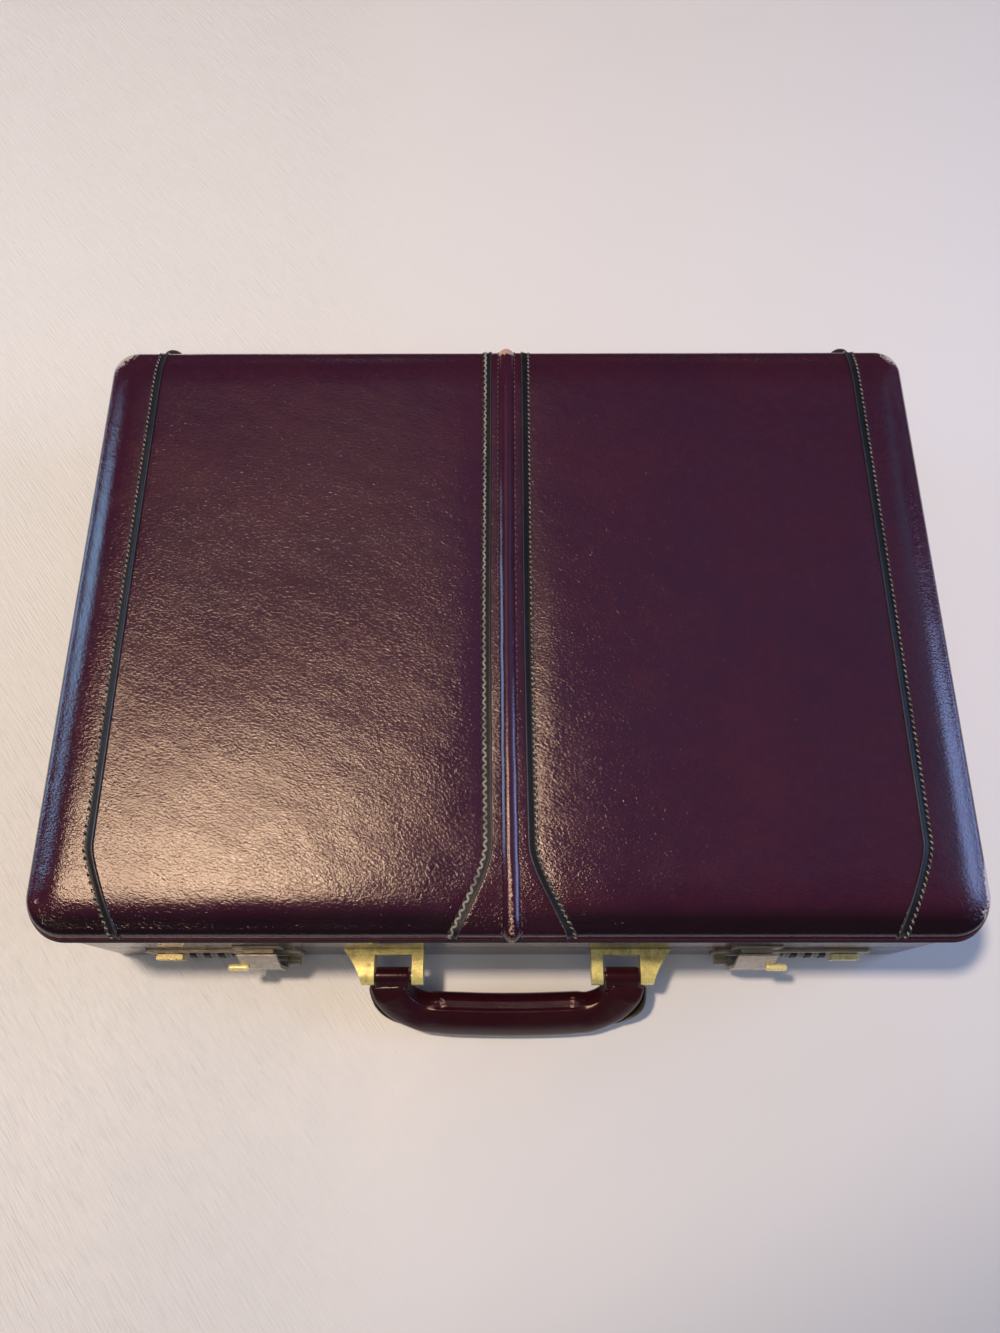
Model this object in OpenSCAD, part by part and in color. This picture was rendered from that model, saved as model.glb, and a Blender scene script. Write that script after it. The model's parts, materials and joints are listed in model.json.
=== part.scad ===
// Hard attache case in burgundy leather, lying flat with its lid closed.
// Millimetres, +Z up, +X to the right, -Y is the side with the handle and the locks.
// The origin is the centre of the face that the case rests on.

/* [Case] */
// Width of the case, side to side
case_w = 457; // [440:1:475]
// Depth of the case, locks to hinges
case_d = 332; // [318:1:346]
// Height of the base half
base_h = 40; // [38:0.5:46]
// Height of the lid half
lid_h = 59.5; // [56:0.5:66]
// Gap between the two rims when the case is closed
rim_gap = 0.5; // [0.4:0.1:1]
// Plan radius of the two corners beside the locks
front_r = 20; // [14:1:26]
// Plan radius of the two corners beside the hinges
back_r = 14; // [10:1:20]
// Rounding of the top and bottom edges
edge_r = 4.5; // [3:0.5:6]

/* [Walls] */
// Thickness of the leather
leather_t = 1.4; // [1:0.1:2]
// Thickness of the fibreboard walls
board_t = 4; // [3:0.5:5]
// Thickness of the fibreboard floor and top
panel_t = 3; // [2:0.5:4]
// Thickness of the lining
lining_t = 0.8; // [0.5:0.1:1.2]

/* [Padded lid] */
// Rise of the padding from the lid's edge to its flat middle
crown_h = 3; // [2:0.5:5]
// Distance over which the padding rises
crown_w = 26; // [16:1:36]

/* [Rims] */
// Thickness of a rim where it caps the board
rim_cap_t = 2; // [1.5:0.5:3]
// Width of the base rim's skirt and tongue, inside the board
skirt_t = 1.8; // [1.2:0.2:2.4]
// Depth of the skirt below the top of the base
skirt_h = 16; // [14:1:18]
// Height of the tongue that stands up into the lid
tongue_h = 3.6; // [2:0.2:4]
// Gap round the tongue
tongue_gap = 0.6; // [0.4:0.1:0.8]

/* [Trim on the lid] */
// Width of a black leather strip
strip_w = 4.4; // [3:0.2:6]
// How far a strip stands out of the lid
strip_t = 0.5; // [0.3:0.1:1]
// Inner edge of a side strip, from the middle of the case
side_strip_x = 197; // [192:0.2:206]
// Inner edge of a centre strip, from the middle of the case
centre_strip_x = 8.3; // [7:0.1:12]
// Length of the stretch at the front where the strips bend
bend_l = 43; // [30:1:55]
// Slope that a side strip reaches at the front, towards the middle
side_slope = 0.42; // [0.2:0.02:0.6]
// Slope that a centre strip reaches at the front, away from the middle
centre_slope = 0.55; // [0.3:0.05:0.8]
// Length over which a side strip takes up its slope
side_knee = 6; // [3:1:12]
// Length over which a centre strip takes up its slope
centre_knee = 14; // [8:1:20]
// Half the width of the bead down the middle
bead_w = 3.6; // [2.5:0.1:5]
// Height of the bead
bead_h = 2.4; // [1.5:0.1:3.5]
// Distance of the welt below the rounding of the lid's edge
welt_gap = 0.1; // [0.1:0.1:2]
// Height of the welt
welt_h = 1.6; // [1.2:0.2:3]
// How far the welt stands out of the walls
welt_out = 0.7; // [0.4:0.1:1.2]

/* [Hinges] */
// Distance of the hinge axis behind the back wall
hinge_out = 3.2; // [3.2:0.1:4]
// Radius of the hinge pin
hinge_pin_r = 1.25; // [1:0.05:1.4]
// Outer radius of a knuckle
knuckle_r = 2.7; // [2.5:0.05:2.7]
// Length of one hinge
hinge_l = 60; // [40:1:80]
// Distance of a hinge's middle from the middle of the case
hinge_x = 130; // [100:1:140]
// Height of a leaf
leaf_h = 16; // [12:1:18]
// Thickness of a leaf
leaf_t = 1.2; // [0.8:0.1:1.4]

/* [Feet] */
// Radius of a foot on the back wall
foot_r = 6; // [4:0.5:8]
// How far a foot stands out of the wall
foot_out = 8.5; // [6:0.5:10]
// Distance of a foot from the middle of the case
foot_x = 198; // [180:1:202]
// Gap between a foot and the welt above it
foot_gap = 0.2; // [0.2:0.2:3]

/* [Lid stays] */
// Length of each link between its pivots
stay_l = 55; // [45:1:62]
// Distance of a stay's fixed pivots above and below the hinge axis
stay_rise = 9; // [8.8:0.1:10]
// Radius of a stay's rivets
stay_pin_r = 2; // [1.5:0.1:2.4]
// Half the width of a link
link_r = 4.5; // [4:0.1:5]
// Thickness of a link
link_t = 1.6; // [1.2:0.1:1.8]

/* [Locks] */
// Inner end of a lock plate, from the middle of the case
lock_x = 109; // [104:1:112]
// Length of a lock plate
lock_l = 81.5; // [81:0.5:86]
// Height of a lock plate
lock_h = 22; // [21:0.5:24]
// Height of the lock's middle above the table
lock_z = 23; // [22:0.5:24]
// Thickness of a lock plate
plate_t = 1.4; // [1:0.1:1.6]
// Distance of the first dial from the middle of the case
dial_x = 149.5; // [149:0.1:150]
// Distance from one dial to the next
dial_pitch = 7.6; // [7.4:0.1:7.8]
// Radius of a dial
dial_r = 6.2; // [5.6:0.1:6.4]
// Radius of a dial's axle
axle_r = 1.5; // [1:0.1:2]
// Length of a thumb button
button_l = 14; // [12:0.5:15]
// Height of a thumb button
button_h = 8; // [6:0.5:10]
// How far a thumb button stands out of the case
button_out = 4.7; // [4:0.1:6]
// Travel of a thumb button
button_travel = 4; // [2:0.5:4]

/* [Hasps] */
// Inner end of a hasp, from the middle of the case
hasp_x = 117.2; // [117:0.1:118]
// Width of a hasp
hasp_w = 20; // [18:0.5:20.4]
// Radius of a hasp's pin
hasp_pin_r = 1.1; // [0.8:0.1:1.3]
// Radius of the barrel round the pin
barrel_r = 2.4; // [2:0.1:2.5]
// Distance of a hasp's pin in front of the case
hasp_pin_out = 4.3; // [4.3:0.1:5]
// Height of a hasp's pin above the table
hasp_pin_z = 17; // [16:0.5:18]
// How far a hasp stands out of the case
hasp_out = 9.5; // [9:0.1:11]
// Thickness of a hasp
hasp_t = 1.6; // [1.2:0.1:2]
// Top of a hasp above the table
hasp_top = 50; // [48:0.5:54]

/* [Handle] */
// Inner face of a bracket's inner arm, from the middle of the case
bracket_x = 43.7; // [40:0.1:46]
// Width of a bracket's inner arm
inner_arm_w = 6; // [5:0.1:7]
// Width of the slot between a bracket's arms
slot_w = 19.4; // [18:0.1:21]
// Width of a bracket's outer arm at its pin
outer_arm_w = 6.7; // [5:0.1:8]
// How far the outer arm flares sideways at the wall
flare_w = 9.8; // [6:0.1:12]
// Thickness of a bracket's crossbar, out from the wall
crossbar_t = 2.8; // [2.6:0.1:5]
// Distance of the handle's pins in front of the case
pin_out = 13; // [12.5:0.1:15]
// Height of the handle's pins above the table
pin_z = 30; // [29.6:0.1:30.6]
// Radius of the handle's pins
pin_r = 2; // [1.5:0.1:2.4]
// Radius of a bracket's rounded arm end
arm_r = 4.8; // [4.2:0.1:5]
// Angle by which the handle hangs below level at rest
droop = 41.5; // [38:0.5:41.5]
// Distance from the pins to the middle of the grip
grip_reach = 28; // [27:0.1:28]
// Radius of the grip's shoulders, along its middle
shoulder_r = 26; // [22:0.5:28]
// Half the grip's width in the handle's own plane
grip_a = 11; // [9:0.1:11]
// Half the grip's thickness across that plane
grip_b = 9; // [7:0.1:9]
// Half the thickness of the leather loops at the pins
loop_r = 4.5; // [4:0.1:4.6]

/* [Inside the lid] */
// Half the width of the organiser
organiser_w = 196; // [180:1:204]
// Depth of the organiser, front to back
organiser_d = 262; // [220:1:280]
// Gap that the organiser's gussets keep open under the lid
gusset_h = 9; // [6:0.5:14]
// Thickness of the organiser's panel
organiser_t = 2.4; // [1.6:0.2:4]

/* [Hidden] */

$fn = 48;
leather = [0.24, 0.13, 0.19];
black_leather = [0.13, 0.14, 0.16];
board = [0.55, 0.42, 0.3];
foam = [0.85, 0.82, 0.7];
suede = [0.62, 0.48, 0.36];
brass = [0.8, 0.72, 0.45];
steel = [0.6, 0.6, 0.62];
dark_rubber = [0.2, 0.2, 0.21];

case_h = base_h + rim_gap + lid_h;
front_y = -case_d / 2;
back_y = case_d / 2;
split_z = base_h + rim_gap / 2;
arc_steps = 8;
least_r = 0.5;
edge_steps = 4;
crown_steps = 5;
crown_a = 90 - atan(2 * crown_h / crown_w);
welt_drop = crown_h + edge_r * sin(crown_a) + welt_gap;
foot_z = welt_drop + welt_h + foot_gap + foot_r;
lining_in = leather_t + board_t;
lined_in = lining_in + lining_t;
cut = 0.5;
// Clearance between pieces that move past each other
run_gap = 0.4;
// Radial clearance of a pin in its bore
pin_gap = 0.05;

// Plan outline of the case, moved inwards by an inset
function corner(x, y, r, a) = [for (i = [0:arc_steps])
    [x + r * cos(a + 90 * i / arc_steps), y + r * sin(a + 90 * i / arc_steps)]];
function plan(inset) =
    let(w = case_w / 2 - inset, d = case_d / 2 - inset,
        rf = max(front_r - inset, least_r), rb = max(back_r - inset, least_r))
    concat(corner(w - rb, d - rb, rb, 0), corner(rb - w, d - rb, rb, 90),
        corner(rf - w, rf - d, rf, 180), corner(w - rf, rf - d, rf, 270));

function turned(list) = [for (i = [len(list) - 1:-1:0]) list[i]];

// Rings of a rounded edge as [inset, distance from the outer face], from the wall inwards.
// The skin lies t inside the outermost one, and rises by a crown past the rounding.
function edge_rings(t, crown, a_end) = [for (i = [0:edge_steps])
    let(a = a_end * i / edge_steps)
    [edge_r - (edge_r - t) * cos(a), crown + edge_r * sin(a_end) - (edge_r - t) * sin(a)]];
function crown_rings(t) =
    let(start = edge_r - (edge_r - t) * cos(crown_a))
    [for (i = [1:crown_steps]) let(s = i / crown_steps)
        [start + s * crown_w, crown_h * (1 - s) * (1 - s) + t * sin(crown_a)]];
function base_skin(t) = edge_rings(t, 0, 90);
function lid_skin(t) = concat(edge_rings(t, crown_h, crown_a), crown_rings(t));

// Solid through rings of the plan outline. The rings run from the inside face, over
// the rim and along the outside, or from the far end to the resting face.
module loft(rings) {
    n = len(plan(0));
    last = (len(rings) - 1) * n;
    points = [for (ring = rings) for (p = plan(ring[0])) [p[0], p[1], ring[1]]];
    sides = [for (i = [0:len(rings) - 2]) for (j = [0:n - 1]) let(k = (j + 1) % n)
        [i * n + j, i * n + k, (i + 1) * n + k, (i + 1) * n + j]];
    polyhedron(points, concat([[for (j = [n - 1:-1:0]) j]], sides,
        [[for (j = [0:n - 1]) last + j]]));
}

// Places a form that is written as distances below the lid's top
module from_lid_top() {
    translate([0, 0, case_h]) mirror([0, 0, 1]) children();
}

module ring_wall(outer, inner, z0, z1) {
    translate([0, 0, z0]) linear_extrude(z1 - z0) difference() {
        polygon(plan(outer));
        polygon(plan(inner));
    }
}

module block(x, y, z) {
    translate([x[0], y[0], z[0]]) cube([x[1] - x[0], y[1] - y[0], z[1] - z[0]]);
}

module along_x(x, y, z, r) {
    translate([x[0], y, z]) rotate([0, 90, 0]) cylinder(r = r, h = x[1] - x[0]);
}

module along_y(x, y, z, r) {
    translate([x, y[0], z]) rotate([-90, 0, 0]) cylinder(r = r, h = y[1] - y[0]);
}

module other_side() {
    mirror([1, 0, 0]) children();
}

module both_sides() {
    children();
    other_side() children();
}

// Base half: leather over a fibreboard tray, a lining, and a rim with a tongue
cutout_gap = 0.6;
case_x0 = dial_x - dial_pitch / 2 - 3.1;
case_x1 = lock_x + lock_l + 0.5;
case_z0 = lock_z - lock_h / 2 + 1;
case_z1 = lock_z + lock_h / 2 - 1;
screw_r = 1.6;
screw_head_r = 3.2;
screw_head_t = 1.8;
screw_in = 2.5;
screw_xs = [bracket_x + inner_arm_w / 2, bracket_x + inner_arm_w + slot_w + outer_arm_w + 3];
board_in_y = front_y + lining_in;

module lock_cutouts() {
    both_sides() block([case_x0 - cutout_gap, case_x1 + cutout_gap],
        [front_y - cut, board_in_y + tongue_gap + skirt_t + cut],
        [case_z0 - cutout_gap, case_z1 + cutout_gap]);
}

module screw_shape() {
    both_sides() for (x = screw_xs) {
        along_y(x, [front_y - screw_in, board_in_y - screw_head_t], pin_z, screw_r);
        along_y(x, [board_in_y - screw_head_t, board_in_y], pin_z, screw_head_r);
    }
}

module base_board() {
    color(board) difference() {
        loft(concat([[lining_in, leather_t + panel_t], [lining_in, base_h - rim_cap_t],
            [leather_t, base_h - rim_cap_t]], base_skin(leather_t)));
        lock_cutouts();
        screw_shape();
        hinge_screw_shape(-1);
    }
}

module base_cover() {
    color(leather) difference() {
        loft(concat(turned(base_skin(leather_t)), [[leather_t, base_h], [0, base_h]],
            base_skin(0)));
        lock_cutouts();
        screw_shape();
        hinge_screw_shape(-1);
    }
}

module base_frame() {
    tongue_in = lining_in + tongue_gap;
    inner = tongue_in + skirt_t;
    color(brass) {
        ring_wall(leather_t, inner, base_h - rim_cap_t, base_h);
        difference() {
            ring_wall(lining_in, inner, base_h - skirt_h, base_h - rim_cap_t);
            lock_cutouts();
        }
        ring_wall(tongue_in, inner, base_h, base_h + tongue_h);
    }
}

module base_lining() {
    color(suede) difference() {
        loft([[lined_in, leather_t + panel_t + lining_t], [lined_in, base_h - skirt_h],
            [lining_in, base_h - skirt_h], [lining_in, leather_t + panel_t]]);
        lock_cutouts();
    }
}

// Lid half: leather over foam over a fibreboard tray, with a lining and a rim
lid_rim = lid_h;
arc_end = edge_rings(leather_t, crown_h, crown_a)[edge_steps];
lid_board_top = arc_end[1];
lid_ceiling = case_h - lid_board_top - panel_t;
lining_rim_z = base_h + tongue_h + 1.2;

module lid_board() {
    color(board) difference() {
        from_lid_top() loft(concat([[lining_in, lid_board_top + panel_t],
            [lining_in, lid_rim - rim_cap_t], [leather_t, lid_rim - rim_cap_t]],
            edge_rings(leather_t, crown_h, crown_a)));
        hinge_screw_shape(1);
    }
}

module lid_padding() {
    color(foam) from_lid_top() loft(concat([arc_end], crown_rings(leather_t)));
}

module lid_cover() {
    color(leather) difference() {
        from_lid_top() loft(concat(turned(lid_skin(leather_t)),
            [[leather_t, lid_rim], [0, lid_rim]], lid_skin(0)));
        hinge_screw_shape(1);
    }
}

module lid_frame() {
    color(brass) from_lid_top() ring_wall(leather_t, lining_in, lid_rim - rim_cap_t, lid_rim);
}

module lid_lining() {
    ceiling = lid_board_top + panel_t;
    color(suede) from_lid_top() loft([[lined_in, ceiling + lining_t],
        [lined_in, case_h - lining_rim_z], [lining_in, case_h - lining_rim_z],
        [lining_in, ceiling]]);
}

module lid_welt() {
    color(leather) from_lid_top() ring_wall(-welt_out, 0, welt_drop, welt_drop + welt_h);
}

// Trim on the lid: black strips, the centre panel and its bead
function bend(u, slope, knee) = slope * (sqrt(u * u + knee * knee) - knee);
trim_steps = 10;
trim_end = edge_r;
function trim_ys() = concat([for (i = [0:trim_steps]) front_y - trim_end
    + (bend_l + trim_end) * i / trim_steps], [back_y + trim_end]);
function trim_line(x, slope, knee) = [for (y = trim_ys())
    let(u = max(0, front_y + bend_l - y)) [x + bend(u, slope, knee), y]];

// The layer of a given thickness on the lid's skin, inside a plan outline
module on_lid(points, t) {
    intersection() {
        translate([0, 0, case_h - welt_drop]) linear_extrude(welt_drop + t + cut)
            polygon(points);
        difference() {
            from_lid_top() loft(concat([[-t, lid_rim]], lid_skin(-t)));
            from_lid_top() loft(concat([[0, lid_rim + cut]], lid_skin(0)));
        }
    }
}

module side_strip() {
    inner = trim_line(side_strip_x, -side_slope, side_knee);
    outer = trim_line(side_strip_x + strip_w, -side_slope, side_knee);
    color(black_leather) on_lid(concat(inner, turned(outer)), strip_t);
}

module centre_strip() {
    inner = trim_line(centre_strip_x, centre_slope, centre_knee);
    outer = trim_line(centre_strip_x + strip_w, centre_slope, centre_knee);
    color(black_leather) on_lid(concat(inner, turned(outer)), strip_t);
}

module strip_side_left() { other_side() side_strip(); }
module strip_side_right() { side_strip(); }
module strip_centre_left() { other_side() centre_strip(); }
module strip_centre_right() { centre_strip(); }

module centre_panel() {
    inner = [for (p = trim_line(bead_w, 0, centre_knee)) p];
    outer = trim_line(centre_strip_x, centre_slope, centre_knee);
    color(leather) both_sides() on_lid(concat(inner, turned(outer)), strip_t / 2);
}

// Path of the bead over the lid, from the front edge to the back edge, as [y, z, angle]
bead_sides = 8;
half_skin = lid_skin(0);
function bead_path() = let(last = len(half_skin) - 1)
    concat([for (i = [0:last]) [front_y + half_skin[i][0], case_h - half_skin[i][1]]],
        [for (i = [last:-1:0]) [back_y - half_skin[i][0], case_h - half_skin[i][1]]]);
function ring_dir(path, i) = let(a = path[max(i - 1, 0)], b = path[min(i + 1, len(path) - 1)])
    (b - a) / norm(b - a);

module centre_bead() {
    path = bead_path();
    n = bead_sides + 1;
    count = len(path);
    points = [for (i = [0:count - 1]) let(t = ring_dir(path, i)) for (j = [0:bead_sides])
        let(a = 180 * j / bead_sides, rise = bead_h * sin(a))
        [bead_w * cos(a), path[i][0] - t[1] * rise, path[i][1] + t[0] * rise]];
    sides = [for (i = [0:count - 2]) for (j = [0:n - 1]) let(k = (j + 1) % n)
        [i * n + j, (i + 1) * n + j, (i + 1) * n + k, i * n + k]];
    color(leather) polyhedron(points, concat([[for (j = [0:n - 1]) j]], sides,
        [[for (j = [n - 1:-1:0]) (count - 1) * n + j]]));
}

// Organiser in the lid: a panel on gussets, with card pockets and pen loops
organiser_top = lid_ceiling - lining_t;
organiser_y = [-organiser_d / 2 - 4, organiser_d / 2 - 4];
panel_z = organiser_top - gusset_h;
panel_low = panel_z - organiser_t;
pocket_t = 1.6;
pocket_w = 92;
pocket_h = 64;
pocket_x = 24;
pen_r = 6;
pen_wall = 1.2;
pen_l = 18;
pen_x = 118;

module organiser_panel() {
    color(leather) block([-organiser_w, organiser_w], organiser_y, [panel_low, panel_z]);
}

module organiser_gussets() {
    fold = 3;
    wall = 1.5;
    zs = [panel_z, panel_z + gusset_h / 2, organiser_top];
    edge = organiser_w - fold - wall;
    color(suede) {
        both_sides() translate([0, organiser_y[1], 0]) rotate([90, 0, 0])
            linear_extrude(organiser_d) polygon([[edge, zs[0]], [edge + wall, zs[0]],
                [edge + wall + fold, zs[1]], [edge + wall, zs[2]], [edge, zs[2]],
                [edge + fold, zs[1]]]);
        block([-edge, edge], [organiser_y[1] - wall, organiser_y[1]],
            [panel_z, organiser_top]);
    }
}

module card_pockets() {
    color(leather) both_sides() for (i = [0:2])
        block([pocket_x, pocket_x + pocket_w],
            [organiser_y[1] - 12 - pocket_h, organiser_y[1] - 12 - i * 14],
            [panel_low - (i + 1) * pocket_t, panel_low - i * pocket_t]);
}

module pen_loops() {
    y = organiser_y[0] + 30;
    outer = pen_r + pen_wall;
    color(black_leather) for (i = [0:2]) {
        x = pen_x + i * (2 * outer + 4);
        difference() {
            union() {
                along_y(x, [y, y + pen_l], panel_low - outer, outer);
                block([x - outer, x + outer], [y, y + pen_l], [panel_low - outer, panel_low]);
            }
            along_y(x, [y - cut, y + pen_l + cut], panel_low - outer, pen_r);
        }
    }
}

// Hinges on the back wall, with their pins and screws
hinge_y = back_y + hinge_out;
knuckles = 5;
knuckle_gap = 0.3;
knuckle_l = (hinge_l - (knuckles - 1) * knuckle_gap) / knuckles;
leaf_clear = 3.2;
hinge_screw_r = 1.5;

module knuckle_web(up) {
    top = split_z - hinge_pin_r;
    low = split_z - leaf_clear;
    points = [[back_y, low - 1], [back_y + leaf_t, low - 1], [hinge_y + knuckle_r / 2, low + 0.9],
        [hinge_y, top], [back_y + leaf_t, top], [back_y, top - 1]];
    translate([0, 0, up ? 2 * split_z : 0]) mirror([0, 0, up ? 1 : 0])
        rotate([90, 0, 90]) linear_extrude(knuckle_l) polygon(points);
}

module hinge_half(up, first, bore) {
    low = split_z - leaf_clear - leaf_h;
    leaf_z = up ? [split_z + leaf_clear, split_z + leaf_clear + leaf_h]
        : [low, split_z - leaf_clear];
    for (side = [-1, 1]) difference() {
        union() {
            block([side * hinge_x - hinge_l / 2, side * hinge_x + hinge_l / 2],
                [back_y, back_y + leaf_t], leaf_z);
            for (i = [first:2:knuckles - 1]) {
                x = side * hinge_x - hinge_l / 2 + i * (knuckle_l + knuckle_gap);
                along_x([x, x + knuckle_l], hinge_y, split_z, knuckle_r);
                translate([x, 0, 0]) knuckle_web(up);
            }
        }
        along_x([side * hinge_x - hinge_l, side * hinge_x + hinge_l], hinge_y, split_z, bore);
        hinge_screw_shape(up ? 1 : -1);
    }
}

// Screws of the leaves above (1) or below (-1) the hinge axis
module hinge_screw_shape(half) {
    for (side = [-1, 1]) for (x = [-hinge_l / 3, 0, hinge_l / 3])
        along_y(side * hinge_x + x, [back_y - leather_t - board_t / 2, back_y + leaf_t],
            split_z + half * (leaf_clear + leaf_h * 0.6), hinge_screw_r);
}

module hinge_leaves_base() { color(brass) hinge_half(false, 0, hinge_pin_r); }
module hinge_leaves_lid() { color(brass) hinge_half(true, 1, hinge_pin_r + pin_gap); }

module hinge_pins() {
    color(steel) for (side = [-1, 1])
        along_x([side * hinge_x - hinge_l / 2, side * hinge_x + hinge_l / 2],
            hinge_y, split_z, hinge_pin_r);
}

module hinge_screws_base() { color(brass) hinge_screw_shape(-1); }
module hinge_screws_lid() { color(brass) hinge_screw_shape(1); }

// Domed feet on the back wall, on which the case stands when it is upright
module foot(x, z) {
    rim = foot_out * 0.45;
    dome = foot_out - rim;
    translate([x, back_y, z]) rotate([-90, 0, 0]) rotate_extrude()
        polygon(concat([[0, 0], [foot_r, 0], [foot_r, rim]],
            [for (i = [1:5]) [foot_r * cos(18 * i), rim + dome * sin(18 * i)]]));
}

module feet_base() { color(dark_rubber) both_sides() foot(foot_x, foot_z); }
module feet_lid() { color(dark_rubber) both_sides() foot(foot_x, case_h - foot_z); }

// Lid stays: on each side two links that fold beside the wall, a parallelogram with
// the hinge. The lower link turns on the base, the upper link on the lid.
stay_run = sqrt(stay_l * stay_l - stay_rise * stay_rise);
stay_y = hinge_y - stay_run;
stay_base = [stay_y, split_z - stay_rise];
stay_lid = [stay_y, split_z + stay_rise];
stay_knee = [stay_y - stay_run, split_z];
skirt_x = case_w / 2 - lining_in - tongue_gap - skirt_t;
lined_x = case_w / 2 - lined_in;
stay_plate_t = 1.5;
stay_gap = 0.6;
stay_plate_l = 26;
lower_x = [skirt_x - stay_plate_t - stay_gap - link_t, skirt_x - stay_plate_t - stay_gap];
upper_x = [lower_x[0] - stay_gap - link_t, lower_x[0] - stay_gap];
head_t = 0.9;
head_gap = 0.3;
knee_gap = 0.35;

module stay_link(x, a, b, bore_a, bore_b) {
    d = b - a;
    difference() {
        union() {
            along_x(x, a[0], a[1], link_r);
            along_x(x, b[0], b[1], link_r);
            translate([x[0], a[0], a[1]]) rotate([atan2(d[1], d[0]), 0, 0])
                translate([0, 0, 1 - link_r]) cube([x[1] - x[0], norm(d), 2 * (link_r - 1)]);
        }
        along_x([x[0] - cut, x[1] + cut], a[0], a[1], bore_a);
        if (bore_b > 0) along_x([x[0] - cut, x[1] + cut], b[0], b[1], bore_b);
    }
}

// A stud from a plate, through a link, with a head on its end
module stay_stud(x0, x1, pivot) {
    along_x([x1 - head_gap, x0], pivot[0], pivot[1], stay_pin_r);
    along_x([x1 - head_gap - head_t, x1 - head_gap], pivot[0], pivot[1], link_r - 1);
}

module stay_plates_base() {
    color(steel) both_sides() {
        block([skirt_x - stay_plate_t, skirt_x],
            [stay_y - stay_plate_l / 2, stay_y + stay_plate_l / 2],
            [stay_base[1] - 5, stay_base[1] + 5]);
        stay_stud(skirt_x - stay_plate_t, lower_x[0], stay_base);
    }
}

module stay_plates_lid() {
    color(steel) both_sides() {
        block([lined_x - stay_plate_t, lined_x],
            [stay_y - stay_plate_l / 2, stay_y + stay_plate_l / 2],
            [lining_rim_z, stay_lid[1] + 6]);
        stay_stud(lined_x - stay_plate_t, upper_x[0], stay_lid);
    }
}

module stay_lower() {
    color(steel) {
        stay_link(lower_x, stay_base, stay_knee, stay_pin_r + pin_gap, 0);
        stay_stud(lower_x[0], upper_x[0], stay_knee);
    }
}

module stay_upper() {
    color(steel) stay_link(upper_x, stay_lid, stay_knee, stay_pin_r + pin_gap,
        stay_pin_r + knee_gap);
}

module stay_lower_left() { other_side() stay_lower(); }
module stay_lower_right() { stay_lower(); }
module stay_upper_left() { other_side() stay_upper(); }
module stay_upper_right() { stay_upper(); }

// Locks: a plate on the wall, a case behind it, three dials, a thumb button and a hasp
face_y = front_y - plate_t;
case_wall = 1.2;
case_back_y = board_in_y + 10;
dial_y = front_y + 2.8;
dial_w = dial_pitch - 0.5;
divider_x = dial_x + 2.5 * dial_pitch + 1.1;
button_x0 = divider_x + 2;
button_x1 = button_x0 + button_l;
neck_z = [lock_z - 2, lock_z + 2];
neck_x = [button_x0 + 3, button_x1 - 4];
bar_x = [button_x0 + 1, button_x1 - 1.4];
ear_w = 6;
ear_outer_w = 3.2;
hasp_pin_y = front_y - hasp_pin_out;

module lock_plate() {
    corner_r = 2;
    z0 = lock_z - lock_h / 2;
    color(brass) difference() {
        union() {
            translate([lock_x, front_y, z0]) rotate([90, 0, 0]) linear_extrude(plate_t)
                polygon([[corner_r, 0], [lock_l - corner_r, 0], [lock_l, corner_r],
                    [lock_l, lock_h - corner_r], [lock_l - corner_r, lock_h],
                    [corner_r, lock_h], [0, lock_h - corner_r], [0, corner_r]]);
            for (x = [[hasp_x - run_gap - ear_w, hasp_x - run_gap],
                    [hasp_x + hasp_w + run_gap, hasp_x + hasp_w + run_gap + ear_outer_w]]) {
                along_x(x, hasp_pin_y, hasp_pin_z, barrel_r);
                block(x, [hasp_pin_y, front_y],
                    [hasp_pin_z - barrel_r + 0.4, hasp_pin_z + barrel_r - 0.4]);
            }
        }
        along_x([hasp_x - 2 * ear_w, hasp_x + hasp_w + 2 * ear_w], hasp_pin_y, hasp_pin_z,
            hasp_pin_r);
        block([dial_x - dial_pitch / 2 - 0.3, dial_x + 2.5 * dial_pitch + 0.3],
            [face_y - cut, front_y + cut], [lock_z - dial_r - 0.4, lock_z + dial_r + 0.4]);
        block([neck_x[0] - run_gap, neck_x[1] + button_travel + run_gap],
            [face_y - cut, front_y + cut], [neck_z[0] - run_gap, neck_z[1] + run_gap]);
    }
}

module lock_case() {
    color(steel) difference() {
        block([case_x0, case_x1], [front_y, case_back_y], [case_z0, case_z1]);
        block([case_x0 + case_wall, divider_x], [front_y - cut, case_back_y - case_wall],
            [case_z0 + case_wall, case_z1 - case_wall]);
        block([divider_x + case_wall, case_x1 - case_wall],
            [front_y - cut, case_back_y - case_wall],
            [case_z0 + case_wall, case_z1 - case_wall]);
        along_x([case_x0 - cut, divider_x + case_wall + cut], dial_y, lock_z, axle_r);
    }
}

module dial_axle() {
    along_x([case_x0, divider_x + case_wall], dial_y, lock_z, axle_r);
}

// A dial: a smooth drum for the digits beside a ring with grip notches
module dial(i) {
    x0 = dial_x + i * dial_pitch - dial_w / 2;
    drum = dial_w * 0.55;
    notches = 20;
    color(dark_rubber) difference() {
        union() {
            along_x([x0, x0 + drum], dial_y, lock_z, dial_r - 0.6);
            along_x([x0 + drum, x0 + dial_w], dial_y, lock_z, dial_r);
        }
        along_x([x0 - cut, x0 + dial_w + cut], dial_y, lock_z, axle_r + pin_gap);
        for (k = [0:notches - 1]) translate([x0 + drum, dial_y, lock_z])
            rotate([360 * k / notches, 0, 0]) translate([0, -0.35, dial_r - 0.6])
                cube([dial_w, 0.7, 1]);
    }
}

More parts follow.
